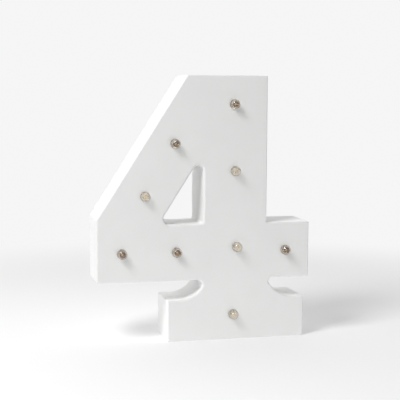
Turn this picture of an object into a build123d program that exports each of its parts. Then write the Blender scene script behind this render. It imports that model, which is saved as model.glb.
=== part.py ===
from build123d import *

import os
from itertools import pairwise
from math import acos, degrees, radians, sqrt

# A battery-lit numeral: the figure 4 as a hollow board case, painted white, with nine clear lamps in its
# face, a recessed housing for two cells in its back, and a slotted hole to hang it by.
# Millimetres. X runs to the right seen from the front, Y from the front to the back, Z up.
# The origin is in the foot's underside, under the middle of the stem and halfway through the case.

os.makedirs("parts", exist_ok=True)

# Numeral, seen from the front
height = 220.0
depth = 41.7
stem_width = 54.4
top_overhang = 13.8
bar_reach = 88.7
arm_reach = 37.6
bar_bottom = 51.0
bar_height = 46.7
left_end_height = 51.7
diagonal_band = 45.7
foot_reach_left = 29.8
foot_reach_right = 33.1
foot_height = 34.3
bracket_radius = 24.0
bracket_flat = 9.2
left_nose_radius = 4.5
right_nose_radius = 2.8
counter_foot_radius = 5.0
counter_apex_radius = 4.3
counter_square_radius = 2.2

# Boards and their soft edges
front_panel_thickness = 3.0
back_panel_thickness = 3.0
wall_thickness = 3.0
counter_wall_thickness = 2.5
front_arris = 0.9
back_arris = 0.6

# Lamps: clear rimless diodes pushed through the front panel from behind and glued there
lamp_diameter = 8.0
lamp_length = 11.0
lamp_set_back = 1.2
lamp_hole_clearance = 0.1
lead_pitch = 2.54
lead_width = 0.5
cathode_lead_length = 6.0
anode_lead_length = 8.0
anode_post_height = 6.2
anvil_shoulder_height = 2.0
anvil_height = 4.2
anvil_top = 5.6
anvil_edge = 0.75
cup_depth = 0.5
cup_mouth = 1.1
cup_floor = 0.6
glue_reach = 2.4
glue_half_width = 3.0

# Marked places of the lamps, and how far each hand-drilled hole lies from its mark
top_lamp_drop = 23.7
middle_lamp_drop = 78.6
upper_diagonal_lamp = 86.5
lower_diagonal_lamp = 36.9
end_lamp_inset = 20.7
counter_lamp_inset = 23.0
foot_lamp_height = 21.3
lamp_drift = [
    (-1.3, 0.0),
    (-1.3, 0.9),
    (-0.3, -0.1),
    (0.5, -0.2),
    (-0.3, 0.3),
    (0.3, 0.4),
    (1.5, 3.5),
    (-0.2, -0.1),
    (-1.3, -0.3),
]

# Wires
wire_radius = 0.6
wire_sides = 6

# Keyhole in the back panel
keyhole_drop = 31.0
keyhole_entry_radius = 4.25
keyhole_slot_width = 4.0
keyhole_rise = 9.0

# Cells and their contacts
cell_diameter = 14.5
cell_length = 50.5
cell_cap_height = 1.0
cell_cap_diameter = 5.5
cell_gap = 0.3
contact_thickness = 0.4
contact_width = 10.0
contact_height = 11.0
contact_gap = 0.1
spring_height = 3.2
spring_span = 8.4
leaf_width = 6.0
tab_width = 3.0
tab_length = 3.0
tab_slot_clearance = 0.1

# Battery housing, door and hinge
cavity_bottom = 104.0
housing_wall = 1.6
housing_floor = 1.4
plate_thickness = 2.0
plate_corner_radius = 3.0
plate_lap_side = 5.6
plate_lap_end = 5.4
door_thickness = 1.6
door_gap = 0.3
door_seat_gap = 0.1
door_ledge = 1.2
latch_ledge = 2.0
knuckle_radius = 1.6
hinge_pin_radius = 1.0
hinge_pin_length = 1.5
hinge_clearance = 0.06
cheek_thickness = 2.2
pocket_wall = 1.4
cutout_clearance = 0.3
tongue_width = 9.2
tongue_length = 9.0
tongue_slot_width = 0.8
grip_groove_depth = 0.4
grip_groove_width = 0.8
grip_groove_pitch = 1.6
grip_groove_count = 4
catch_width = 6.0
catch_depth = 2.4
catch_thickness = 1.1
catch_nib = 0.5
catch_nib_height = 0.9
catch_clearance = 0.3
finger_notch_radius = 5.0
finger_notch_depth = 1.2

# Screws of the housing
screw_inset = 2.7
screw_head_radius = 2.0
screw_head_height = 1.1
screw_radius = 1.1
screw_length = 6.0
screw_hole_clearance = 0.05
screw_recess_length = 2.2
screw_recess_width = 0.5
screw_recess_depth = 0.6

# Slide switch
switch_margin = 7.4
switch_bay_height = 5.4
switch_shell_length = 13.6
switch_shell_height = 6.8
switch_shell_depth = 5.5
switch_ear_length = 23.0
switch_sheet = 0.5
switch_body_depth = 6.3
switch_pocket_length = 11.0
switch_pocket_height = 4.2
switch_pocket_depth = 2.7
knob_base_length = 7.0
knob_base_height = 3.8
knob_base_depth = 1.7
knob_length = 3.4
knob_height = 3.0
knob_rise = 1.8
knob_travel = 3.0
knob_gap = 0.3
stake_length = 2.0
stake_width = 1.6
stake_pitch = 18.6
lug_width = 1.4
lug_length = 4.0
lug_thickness = 0.5
lug_pitch = 3.0

# Places that follow from the sizes
front_y = -depth / 2
back_y = depth / 2
panel_rear_y = front_y + front_panel_thickness
back_panel_front_y = back_y - back_panel_thickness
wall_depth = depth - front_panel_thickness - back_panel_thickness
stem_right = stem_width / 2
stem_left = -stem_width / 2
foot_left = stem_left - foot_reach_left
foot_right = stem_right + foot_reach_right
arm_end = stem_right + arm_reach
bar_end = stem_left - bar_reach
bar_top = bar_bottom + bar_height
bar_middle = bar_bottom + bar_height / 2
bracket_rise = foot_height + bracket_radius - bar_bottom
bracket_angle = degrees(acos(bracket_rise / bracket_radius))
nose_reach = bracket_flat + sqrt(bracket_radius**2 - bracket_rise**2)

diagonal_foot = Vector(bar_end, bar_bottom + left_end_height)
diagonal_head = Vector(stem_left - top_overhang, height)
diagonal_run = (diagonal_head - diagonal_foot).normalized()
diagonal_inward = Vector(diagonal_run.Y, -diagonal_run.X)
band_edge = diagonal_foot + diagonal_inward * diagonal_band
band_slope = diagonal_run.Y / diagonal_run.X


def elevation(y):
    """The plane of the front elevation at the depth y, looking out to the front."""
    return Plane.XZ.offset(-y)


def nose_start(radius):
    """How far past its bracket's centre the bar's underside ends, where a nose of this radius begins."""
    return sqrt((bracket_radius - radius) ** 2 - (bracket_rise + radius) ** 2)


def nearest_corner(sketch, place):
    """The vertex of a sketch that lies nearest to a place."""
    return sketch.vertices().sort_by_distance(place)[0]


# Outline of the numeral, and its triangular counter
foot_left_top = Vector(foot_left, foot_height)
foot_right_top = Vector(foot_right, foot_height)
left_bracket_foot = foot_left_top + (bracket_flat, 0)
right_bracket_foot = foot_right_top - (bracket_flat, 0)
left_nose = Vector(foot_left + nose_reach, bar_bottom)
right_nose = Vector(foot_right - nose_reach, bar_bottom)
counter_foot = Vector(band_edge.X + (bar_top - band_edge.Y) / band_slope, bar_top)
counter_square = Vector(stem_left, bar_top)
counter_apex = Vector(stem_left, band_edge.Y + (stem_left - band_edge.X) * band_slope)

with BuildSketch() as outline:
    with BuildLine():
        left_bracket_arc = JernArc(left_bracket_foot, (1, 0), bracket_radius, bracket_angle)
        right_bracket_arc = JernArc(right_bracket_foot, (-1, 0), bracket_radius, -bracket_angle)
        Polyline(
            right_bracket_arc @ 1,
            (arm_end, bar_bottom),
            (arm_end, bar_top),
            (stem_right, bar_top),
            (stem_right, height),
            diagonal_head,
            diagonal_foot,
            (bar_end, bar_bottom),
            left_bracket_arc @ 1,
        )
        Polyline(
            left_bracket_arc @ 0,
            foot_left_top,
            (foot_left, 0),
            (foot_right, 0),
            foot_right_top,
            right_bracket_arc @ 0,
        )
    make_face()
    fillet(nearest_corner(outline, left_nose), radius=left_nose_radius)
    fillet(nearest_corner(outline, right_nose), radius=right_nose_radius)

with BuildSketch() as counter:
    with BuildLine():
        Polyline(counter_foot, counter_square, counter_apex, close=True)
    make_face()
    fillet(nearest_corner(counter, counter_foot), radius=counter_foot_radius)
    fillet(nearest_corner(counter, counter_square), radius=counter_square_radius)
    fillet(nearest_corner(counter, counter_apex), radius=counter_apex_radius)

with BuildSketch() as inner_outline:
    add(outline.sketch)
    offset(amount=-wall_thickness, kind=Kind.INTERSECTION, mode=Mode.REPLACE)

with BuildSketch() as wall_band:
    add(outline.sketch)
    add(inner_outline.sketch, mode=Mode.SUBTRACT)

# Lamp places, in the order in which the wires run from one to the next
marked_lamps = [
    Vector(0, height - top_lamp_drop),
    diagonal_foot + diagonal_run * upper_diagonal_lamp + diagonal_inward * (diagonal_band / 2),
    Vector(0, height - middle_lamp_drop),
    diagonal_foot + diagonal_run * lower_diagonal_lamp + diagonal_inward * (diagonal_band / 2),
    Vector(bar_end + end_lamp_inset, bar_middle),
    Vector(stem_left - counter_lamp_inset, bar_middle),
    Vector(0, bar_middle),
    Vector(arm_end - end_lamp_inset, bar_middle),
    Vector(0, foot_lamp_height),
]
lamps = [mark + Vector(drift) for mark, drift in zip(marked_lamps, lamp_drift)]
top, upper_diagonal, middle, lower_diagonal, left_end, under_counter, crossing, arm, foot = lamps
wire_order = [middle, top, upper_diagonal, lower_diagonal, left_end, under_counter, crossing, arm, foot]

# Direction from each lamp's cathode lead to its anode lead, in the order of the wires and across them
rightwards = Vector(1, 0)
downwards = Vector(0, -1)
lead_directions = [
    rightwards,
    rightwards,
    diagonal_inward,
    diagonal_inward,
    downwards,
    downwards,
    downwards,
    downwards,
    -rightwards,
]

lamp_base_y = panel_rear_y + lamp_set_back
lamp_locations = [
    Plane(origin=(spot.X, lamp_base_y, spot.Y), x_dir=(lead.X, 0, lead.Y), z_dir=(0, -1, 0)).location
    for spot, lead in zip(wire_order, lead_directions)
]

# Front panel: the whole face, its arris eased round the outline and round the counter
with BuildPart() as front_panel:
    with BuildSketch(elevation(panel_rear_y)):
        add(outline.sketch)
        add(counter.sketch, mode=Mode.SUBTRACT)
    extrude(amount=front_panel_thickness)
    chamfer(front_panel.faces().sort_by(Axis.Y)[0].edges(), length=front_arris)
    with BuildSketch(elevation(panel_rear_y)):
        with Locations(*lamps):
            Circle(lamp_diameter / 2 + lamp_hole_clearance)
    extrude(amount=front_panel_thickness, mode=Mode.SUBTRACT)
front_panel.part.label = "front_panel"
export_step(front_panel.part, "parts/front_panel.step")

# Counter wall: the band that lines the triangular hole
with BuildPart() as counter_wall:
    with BuildSketch(elevation(back_panel_front_y)):
        add(counter.sketch)
        offset(amount=counter_wall_thickness, kind=Kind.INTERSECTION)
        add(counter.sketch, mode=Mode.SUBTRACT)
    extrude(amount=wall_depth)
counter_wall.part.label = "counter_wall"
export_step(counter_wall.part, "parts/counter_wall.step")


# Side wall: strips of board, mitred where two meet at a corner
def mitre(before, corner, after):
    """The wall's inner corner where it turns at corner, with the inside of the case on its left."""
    arriving = (corner - before).normalized()
    leaving = (after - corner).normalized()
    first_inward = Vector(-arriving.Y, arriving.X)
    second_inward = Vector(-leaving.Y, leaving.X)
    share = 1 + first_inward.dot(second_inward)
    return corner + (first_inward + second_inward) * (wall_thickness / share)


left_underside_end = Vector(left_bracket_foot.X + nose_start(left_nose_radius), bar_bottom)
right_underside_end = Vector(right_bracket_foot.X - nose_start(right_nose_radius), bar_bottom)
corners = [
    right_underside_end,
    Vector(arm_end, bar_bottom),
    Vector(arm_end, bar_top),
    Vector(stem_right, bar_top),
    Vector(stem_right, height),
    diagonal_head,
    diagonal_foot,
    Vector(bar_end, bar_bottom),
    left_underside_end,
]
foot_corners = [
    left_bracket_foot,
    foot_left_top,
    Vector(foot_left, 0),
    Vector(foot_right, 0),
    foot_right_top,
    right_bracket_foot,
]
inward_step = Vector(0, wall_thickness)


def inner_corners(run):
    """The inner points of a run of corners: square at its two ends, mitred between them."""
    mitred = [mitre(*run[i - 1 : i + 2]) for i in range(1, len(run) - 1)]
    return [run[0] + inward_step, *mitred, run[-1] + inward_step]


upper_strips = [
    "wall_arm_underside",
    "wall_arm_end",
    "wall_arm_top",
    "wall_stem_right",
    "wall_top",
    "wall_diagonal",
    "wall_left_end",
    "wall_bar_underside",
]
foot_strips = ["wall_foot_left", "wall_foot_underside", "wall_foot_right"]
inner = inner_corners(corners)
foot_inner = inner_corners(foot_corners)
strip_profiles = {
    name: (corners[i], corners[i + 1], inner[i + 1], inner[i]) for i, name in enumerate(upper_strips)
}
for i, name in enumerate(foot_strips, start=1):
    strip_profiles[name] = (foot_corners[i], foot_corners[i + 1], foot_inner[i + 1], foot_inner[i])

for name, profile in strip_profiles.items():
    with BuildPart() as strip:
        with BuildSketch(elevation(back_panel_front_y)):
            with BuildLine():
                Polyline(*profile, close=True)
            make_face()
        extrude(amount=wall_depth)
    strip.part.label = name
    export_step(strip.part, f"parts/{name}.step")

# Brackets: bent strips from the foot's top, up the curve and round the nose to the underside of the bar
bracket_regions = {
    "wall_bracket_left": (foot_left_top, foot_inner[1], left_underside_end),
    "wall_bracket_right": (foot_right_top, foot_inner[4], right_underside_end),
}
for name, (foot_corner, foot_inside, underside_end) in bracket_regions.items():
    with BuildPart() as bracket:
        with BuildSketch(elevation(back_panel_front_y)):
            with BuildLine():
                Polyline(
                    foot_corner,
                    foot_inside,
                    (0, foot_inside.Y),
                    (0, bar_bottom + wall_thickness),
                    underside_end + inward_step,
                    underside_end,
                    close=True,
                )
            make_face()
            add(wall_band.sketch, mode=Mode.INTERSECT)
        extrude(amount=wall_depth)
    bracket.part.label = name
    export_step(bracket.part, f"parts/{name}.step")

# Battery housing: sizes that its pieces share
cavity_width = 2 * cell_diameter + 3 * cell_gap
cavity_length = cell_length + contact_thickness + spring_height + 2 * contact_gap
cavity_top = cavity_bottom + cavity_length
plate_y = back_y + plate_thickness
ledge_y = plate_y - door_thickness - door_seat_gap
door_inner_y = ledge_y + door_seat_gap
floor_y = ledge_y - cell_diameter - 2 * cell_gap
floor_outer_y = floor_y - housing_floor
recess_half_width = cavity_width / 2 + door_ledge
door_half_width = recess_half_width - door_gap
collar_half_width = recess_half_width + cheek_thickness
hinge_z = cavity_bottom - housing_wall - knuckle_radius - door_gap
collar_bottom = hinge_z - knuckle_radius - door_gap - pocket_wall
recess_top = cavity_top + latch_ledge
door_top = recess_top - door_gap
switch_z = recess_top + switch_margin
collar_top = switch_z + switch_bay_height
collar_middle = (collar_bottom + collar_top) / 2
collar_length = collar_top - collar_bottom
plate_width = 2 * (collar_half_width + plate_lap_side)
plate_length = collar_length + 2 * plate_lap_end
cavity_middle = (cavity_bottom + cavity_top) / 2
cell_x = (cell_diameter + cell_gap) / 2
cell_y = floor_y + cell_gap + cell_diameter / 2
screw_z_offset = plate_length / 2 - screw_inset
screw_spots = [(0, collar_middle + side * screw_z_offset) for side in (-1, 1)]
tab_tip_y = floor_outer_y - tab_length
nib_y = door_inner_y - catch_depth
stake_spots = [(side * stake_pitch / 2, switch_z) for side in (-1, 1)]
switch_slot_length = knob_length + knob_travel + 2 * knob_gap
switch_slot_height = knob_height + 2 * knob_gap

# Back panel: the whole outline, with the cut-out for the housing and the keyhole
with BuildPart() as back_panel:
    with BuildSketch(elevation(back_y)):
        add(outline.sketch)
    extrude(amount=back_panel_thickness)
    chamfer(back_panel.faces().sort_by(Axis.Y)[-1].edges(), length=back_arris)
    with BuildSketch(elevation(back_y)):
        add(counter.sketch)
        with Locations((0, collar_middle)):
            Rectangle(2 * (collar_half_width + cutout_clearance), collar_length + 2 * cutout_clearance)
        with Locations(*screw_spots):
            Circle(screw_radius + screw_hole_clearance)
        with Locations((0, height - keyhole_drop)):
            Circle(keyhole_entry_radius)
        with Locations((0, height - keyhole_drop + keyhole_rise / 2)):
            Rectangle(keyhole_slot_width, keyhole_rise)
        with Locations((0, height - keyhole_drop + keyhole_rise)):
            Circle(keyhole_slot_width / 2)
    extrude(amount=back_panel_thickness, mode=Mode.SUBTRACT)
back_panel.part.label = "back_panel"
export_step(back_panel.part, "parts/back_panel.step")

# Housing: a plate on the back panel, a collar in its cut-out, and the box for the cells behind it
with BuildPart() as battery_housing:
    with BuildSketch(elevation(plate_y)):
        with Locations((0, collar_middle)):
            RectangleRounded(plate_width, plate_length, plate_corner_radius)
    extrude(amount=plate_thickness)
    with BuildSketch(elevation(back_y)):
        with Locations((0, collar_middle)):
            Rectangle(2 * collar_half_width, collar_length)
    extrude(amount=back_panel_thickness)
    with BuildSketch(elevation(back_y)):
        with Locations((0, cavity_middle)):
            Rectangle(cavity_width + 2 * housing_wall, cavity_length + 2 * housing_wall)
    extrude(amount=back_y - floor_outer_y)
    with BuildSketch(elevation(plate_y)):
        with Locations((0, cavity_middle)):
            Rectangle(cavity_width, cavity_length)
    extrude(amount=plate_y - floor_y, mode=Mode.SUBTRACT)
    with BuildSketch(elevation(plate_y)):
        with Locations((0, (hinge_z + recess_top) / 2)):
            Rectangle(2 * recess_half_width, recess_top - hinge_z)
    extrude(amount=plate_y - ledge_y, mode=Mode.SUBTRACT)
    # pocket and bores for the hinge
    with BuildSketch(Plane.YZ):
        with Locations((door_inner_y, hinge_z)):
            Circle(knuckle_radius + door_gap)
        with Locations((plate_y, hinge_z)):
            Rectangle(2 * (plate_y - door_inner_y), 2 * (knuckle_radius + door_gap))
    extrude(amount=recess_half_width, both=True, mode=Mode.SUBTRACT)
    with BuildSketch(Plane.YZ):
        with Locations((door_inner_y, hinge_z)):
            Circle(hinge_pin_radius + hinge_clearance)
    extrude(amount=recess_half_width + hinge_pin_length + door_gap, both=True, mode=Mode.SUBTRACT)
    # groove that the catch snaps into, and the notch for a fingertip
    with BuildSketch(elevation(nib_y + catch_nib_height + catch_clearance)):
        with Locations((0, cavity_top)):
            Rectangle(catch_width + 2 * catch_clearance, 2 * (catch_nib + catch_clearance))
    extrude(amount=catch_nib_height + 2 * catch_clearance, mode=Mode.SUBTRACT)
    with BuildSketch(elevation(plate_y)):
        with Locations((0, recess_top)):
            Circle(finger_notch_radius)
        with Locations((0, recess_top - finger_notch_radius)):
            Rectangle(2 * finger_notch_radius, 2 * finger_notch_radius, mode=Mode.SUBTRACT)
    extrude(amount=finger_notch_depth, mode=Mode.SUBTRACT)
    # slots for the solder tabs
    with BuildSketch(elevation(floor_y)):
        with Locations(*[(side * cell_x, cavity_top) for side in (-1, 1)]):
            Rectangle(
                tab_width + 2 * tab_slot_clearance,
                contact_thickness + tab_slot_clearance,
                align=(Align.CENTER, Align.MAX),
            )
    extrude(amount=housing_floor, mode=Mode.SUBTRACT)
    # bay of the switch, its slot, and the stakes that hold its shell
    with BuildSketch(elevation(back_y)):
        with Locations((0, switch_z)):
            Rectangle(switch_ear_length + 2 * cutout_clearance, 2 * (switch_bay_height - housing_wall))
    extrude(amount=back_panel_thickness, mode=Mode.SUBTRACT)
    with BuildSketch(elevation(plate_y)):
        with Locations((0, switch_z)):
            Rectangle(switch_slot_length, switch_slot_height)
    extrude(amount=plate_thickness, mode=Mode.SUBTRACT)
    with BuildSketch(elevation(back_y)):
        with Locations(*stake_spots):
            Rectangle(stake_width, stake_length)
    extrude(amount=2 * switch_sheet)
    with BuildSketch(elevation(plate_y)):
        with Locations(*screw_spots):
            Circle(screw_radius + screw_hole_clearance)
    extrude(amount=plate_thickness, mode=Mode.SUBTRACT)
battery_housing.part.label = "battery_housing"
export_step(battery_housing.part, "parts/battery_housing.step")

# Door: a lid with a knuckle and two pins at its lower edge and a latch tongue at its upper edge
with BuildPart() as battery_door:
    with BuildSketch(Plane.YZ):
        with Locations((door_inner_y, hinge_z)):
            Rectangle(door_thickness, door_top - hinge_z, align=Align.MIN)
            Circle(knuckle_radius)
    extrude(amount=door_half_width, both=True)
    with BuildSketch(Plane.YZ):
        with Locations((door_inner_y, hinge_z)):
            Circle(hinge_pin_radius)
    extrude(amount=recess_half_width + hinge_pin_length, both=True)
    with BuildSketch(elevation(plate_y)):
        with Locations(*[(side * tongue_width / 2, door_top) for side in (-1, 1)]):
            Rectangle(tongue_slot_width, tongue_length, align=(Align.CENTER, Align.MAX))
    extrude(amount=door_thickness, mode=Mode.SUBTRACT)
    with BuildSketch(elevation(plate_y)):
        with Locations((0, door_top - tongue_length / 2)):
            with GridLocations(0, grip_groove_pitch, 1, grip_groove_count):
                Rectangle(tongue_width - 2 * tongue_slot_width, grip_groove_width)
    extrude(amount=grip_groove_depth, mode=Mode.SUBTRACT)
    with BuildSketch(Plane.YZ):
        with BuildLine():
            catch_face = cavity_top - catch_clearance
            Polyline(
                (door_inner_y, catch_face - catch_thickness),
                (door_inner_y, catch_face),
                (nib_y + catch_nib_height, catch_face),
                (nib_y + catch_nib_height, catch_face + catch_clearance + catch_nib),
                (nib_y, catch_face),
                (nib_y, catch_face - catch_thickness),
                close=True,
            )
        make_face()
    extrude(amount=catch_width / 2, both=True)
battery_door.part.label = "battery_door"
export_step(battery_door.part, "parts/battery_door.step")

# Contacts: stamped plates against the cavity's ends, with a folded leaf spring under each cell's flat end
leaf_rise = spring_height - contact_thickness
leaf_slope = leaf_rise / (spring_span / 2)
leaf_depth = contact_thickness * sqrt(1 + leaf_slope**2)
leaf_middle_y = floor_y + contact_height / 2


def leaf(end_z, inward):
    """A leaf spring's section, on the plate at end_z, its fold pointing along inward (1 up, -1 down)."""
    foot_z = end_z + inward * contact_thickness
    with BuildSketch(mode=Mode.PRIVATE) as spring:
        for rise, mode in ((leaf_rise, Mode.ADD), (leaf_rise - leaf_depth, Mode.SUBTRACT)):
            half_span = rise / leaf_slope
            with BuildLine():
                Polyline(
                    (leaf_middle_y - half_span, foot_z),
                    (leaf_middle_y, foot_z + inward * rise),
                    (leaf_middle_y + half_span, foot_z),
                    close=True,
                )
            make_face(mode=mode)
    return spring.sketch


for name, x, has_spring in (("positive_contact", -cell_x, False), ("negative_contact", cell_x, True)):
    with BuildPart() as contact:
        with BuildSketch(Plane.XY.offset(cavity_top - contact_thickness)):
            with Locations((x, floor_y)):
                Rectangle(contact_width, contact_height, align=(Align.CENTER, Align.MIN))
                Rectangle(tab_width, housing_floor + tab_length, align=(Align.CENTER, Align.MAX))
        extrude(amount=contact_thickness)
        if has_spring:
            with BuildSketch(Plane.YZ.offset(x)):
                add(leaf(cavity_top, -1))
            extrude(amount=leaf_width / 2, both=True)
    contact.part.label = name
    export_step(contact.part, f"parts/{name}.step")

with BuildPart() as bridge_contact:
    with BuildSketch(Plane.XY.offset(cavity_bottom)):
        with Locations((0, floor_y)):
            Rectangle(2 * cell_x + contact_width, contact_height, align=(Align.CENTER, Align.MIN))
    extrude(amount=contact_thickness)
    with BuildSketch(Plane.YZ.offset(-cell_x)):
        add(leaf(cavity_bottom, 1))
    extrude(amount=leaf_width / 2, both=True)
bridge_contact.part.label = "bridge_contact"
export_step(bridge_contact.part, "parts/bridge_contact.step")

# Cells: the left one stands with its cap up, the right one with its cap down
cell_body_length = cell_length - cell_cap_height
spring_seat = spring_height + contact_gap
for name, x, flat_end, direction in (
    ("cell_left", -cell_x, cavity_bottom + spring_seat, 1),
    ("cell_right", cell_x, cavity_top - spring_seat, -1),
):
    with BuildPart() as cell:
        with BuildSketch(Plane(origin=(x, cell_y, flat_end), z_dir=(0, 0, direction))):
            Circle(cell_diameter / 2)
        extrude(amount=cell_body_length)
        cap_foot = flat_end + direction * cell_body_length
        with BuildSketch(Plane(origin=(x, cell_y, cap_foot), z_dir=(0, 0, direction))):
            Circle(cell_cap_diameter / 2)
        extrude(amount=cell_cap_height)
    cell.part.label = name
    export_step(cell.part, f"parts/{name}.step")

# Screws of the housing, each with a slot in its head
with BuildPart() as housing_screws:
    for spot in screw_spots:
        with BuildSketch(elevation(plate_y + screw_head_height)):
            with Locations(spot):
                Circle(screw_head_radius)
        extrude(amount=screw_head_height)
        with BuildSketch(elevation(plate_y)):
            with Locations(spot):
                Circle(screw_radius)
        extrude(amount=screw_length)
        with BuildSketch(elevation(plate_y + screw_head_height)):
            with Locations(spot):
                Rectangle(screw_recess_length, screw_recess_width)
                Rectangle(screw_recess_width, screw_recess_length)
        extrude(amount=screw_recess_depth, mode=Mode.SUBTRACT)
housing_screws.part.label = "housing_screws"
export_step(housing_screws.part, "parts/housing_screws.step")

# Slide switch
body_length = switch_shell_length - 2 * switch_sheet
body_height = switch_shell_height - 2 * switch_sheet
sheet_rear_y = back_y - switch_sheet

with BuildPart() as switch_shell:
    with BuildSketch(elevation(back_y)):
        with Locations((0, switch_z)):
            Rectangle(switch_ear_length, switch_shell_height)
            Rectangle(switch_slot_length, switch_slot_height, mode=Mode.SUBTRACT)
        with Locations(*stake_spots):
            Rectangle(stake_width, stake_length, mode=Mode.SUBTRACT)
    extrude(amount=switch_sheet)
    with BuildSketch(elevation(sheet_rear_y)):
        with Locations((0, switch_z)):
            Rectangle(switch_shell_length, switch_shell_height)
            Rectangle(body_length, body_height, mode=Mode.SUBTRACT)
    extrude(amount=switch_shell_depth - switch_sheet)
switch_shell.part.label = "switch_shell"
export_step(switch_shell.part, "parts/switch_shell.step")

with BuildPart() as switch_body:
    with BuildSketch(elevation(sheet_rear_y)):
        with Locations((0, switch_z)):
            Rectangle(body_length, body_height)
    extrude(amount=switch_body_depth - switch_sheet)
    with BuildSketch(elevation(sheet_rear_y)):
        with Locations((0, switch_z)):
            Rectangle(switch_pocket_length, switch_pocket_height)
    extrude(amount=switch_pocket_depth - switch_sheet, mode=Mode.SUBTRACT)
switch_body.part.label = "switch_body"
export_step(switch_body.part, "parts/switch_body.step")

knob_play = (switch_pocket_depth - switch_sheet - knob_base_depth) / 2
knob_base_y = sheet_rear_y - knob_play
knob_x = -knob_travel / 2
with BuildPart() as switch_knob:
    with BuildSketch(elevation(knob_base_y)):
        with Locations((knob_x, switch_z)):
            Rectangle(knob_base_length, knob_base_height)
    extrude(amount=knob_base_depth)
    with BuildSketch(elevation(plate_y + knob_rise)):
        with Locations((knob_x, switch_z)):
            Rectangle(knob_length, knob_height)
    extrude(amount=plate_y + knob_rise - knob_base_y)
switch_knob.part.label = "switch_knob"
export_step(switch_knob.part, "parts/switch_knob.step")

lug_y = back_y - switch_body_depth
lug_tip_y = lug_y - lug_length
with BuildPart() as switch_terminals:
    with BuildSketch(elevation(lug_y)):
        with Locations((0, switch_z)):
            with GridLocations(lug_pitch, 0, 3, 1):
                Rectangle(lug_width, lug_thickness)
    extrude(amount=lug_length)
switch_terminals.part.label = "switch_terminals"
export_step(switch_terminals.part, "parts/switch_terminals.step")

# One lamp in its own frame: the middle of its base at the origin, its dome along +Z, its leads along -Z
lead_x = lead_pitch / 2
lead_half = lead_width / 2
with BuildPart() as cathode:
    with BuildSketch(Plane.XZ):
        with BuildLine():
            Polyline(
                (-lead_x - lead_half, -cathode_lead_length),
                (-lead_x + lead_half, -cathode_lead_length),
                (-lead_x + lead_half, anvil_shoulder_height),
                (anvil_edge, anvil_height),
                (anvil_edge, anvil_top),
                (cup_mouth / 2, anvil_top),
                (cup_floor / 2, anvil_top - cup_depth),
                (-cup_floor / 2, anvil_top - cup_depth),
                (-cup_mouth / 2, anvil_top),
                (-lead_x - lead_half, anvil_top),
                close=True,
            )
        make_face()
    extrude(amount=lead_half, both=True)

with BuildPart() as anode:
    with BuildSketch(Plane.XZ):
        with Locations((lead_x, -anode_lead_length)):
            Rectangle(lead_width, anode_lead_length + anode_post_height, align=(Align.CENTER, Align.MIN))
    extrude(amount=lead_half, both=True)

with BuildPart() as chip:
    with BuildSketch(Plane.XZ):
        with BuildLine():
            Polyline(
                (cup_mouth / 2, anvil_top),
                (-cup_mouth / 2, anvil_top),
                (-cup_floor / 2, anvil_top - cup_depth),
                (cup_floor / 2, anvil_top - cup_depth),
                close=True,
            )
        make_face()
    extrude(amount=lead_half, both=True)

with BuildPart() as lens:
    with BuildSketch(Plane.XZ):
        with BuildLine():
            dome_centre = lamp_length - lamp_diameter / 2
            Polyline(
                (0, lamp_length),
                (0, 0),
                (lamp_diameter / 2, 0),
                (lamp_diameter / 2, dome_centre),
            )
            RadiusArc((lamp_diameter / 2, dome_centre), (0, lamp_length), -lamp_diameter / 2)
        make_face()
    revolve(axis=Axis.Z)
    add(cathode.part, mode=Mode.SUBTRACT)
    add(anode.part, mode=Mode.SUBTRACT)
    add(chip.part, mode=Mode.SUBTRACT)

with BuildPart() as glue_dab:
    with BuildSketch(Plane.YZ):
        with BuildLine():
            Polyline(
                (lamp_diameter / 2, 0),
                (lamp_diameter / 2 + glue_reach, lamp_set_back),
                (lamp_diameter / 2, lamp_set_back),
                close=True,
            )
        make_face()
    extrude(amount=glue_half_width, both=True)

# The nine lamps: each kind of piece is one group of nine solids
for name, piece in (
    ("lamp_lenses", lens),
    ("lamp_cathodes", cathode),
    ("lamp_anodes", anode),
    ("lamp_chips", chip),
    ("glue_dabs", glue_dab),
):
    with BuildPart() as group:
        with Locations(*lamp_locations):
            add(piece.part)
    group.part.label = name
    export_step(group.part, f"parts/{name}.step")

# Wires: straight runs from lead to lead, soldered behind each lamp
cathode_tip_y = lamp_base_y + cathode_lead_length + wire_radius
anode_tip_y = lamp_base_y + anode_lead_length + wire_radius
tab_solder_z = cavity_top - contact_thickness / 2
tab_solder_y = tab_tip_y - wire_radius
lug_solder_y = lug_tip_y - wire_radius
bend_z = (recess_top + switch_z) / 2


def lead_tips(side, y):
    """The solder points behind the lamps: side -1 for the cathodes, 1 for the anodes, at the depth y."""
    spots = [spot + lead * (side * lead_x) for spot, lead in zip(wire_order, lead_directions)]
    return [Vector(spot.X, y, spot.Y) for spot in spots]


wire_routes = {
    "positive_wire": [Vector(-cell_x, tab_solder_y, tab_solder_z), *lead_tips(1, anode_tip_y)],
    "negative_wire": [
        Vector(0, lug_solder_y, switch_z),
        Vector(-lead_x, tab_solder_y, bend_z),
        *lead_tips(-1, cathode_tip_y),
    ],
    "switch_lead": [
        Vector(cell_x, tab_solder_y, tab_solder_z),
        Vector(cell_x, tab_solder_y, bend_z),
        Vector(lug_pitch, lug_solder_y, switch_z),
    ],
}
for name, route in wire_routes.items():
    with BuildPart() as wire:
        for start, end in pairwise(route):
            with BuildSketch(Plane(origin=start, z_dir=end - start)):
                RegularPolygon(wire_radius, wire_sides)
            extrude(amount=(end - start).length)
    wire.part.label = name
    export_step(wire.part, f"parts/{name}.step")
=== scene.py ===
"""Light up marquee number: its looks, built around the packed frame.

A battery-lit numeral 4 of papered board, painted white. The frame gives every size and place; the
classes here give the paper and its paint, the clear lamps, the moulded housing with its cells and
switch, and the studio.
All lengths are in metres. X runs to the right seen from the front, Y from the face to the back, Z up.
"""

import logging
import math
from collections.abc import Callable, Iterable, Sequence
from dataclasses import dataclass, field
from enum import Enum

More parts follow.
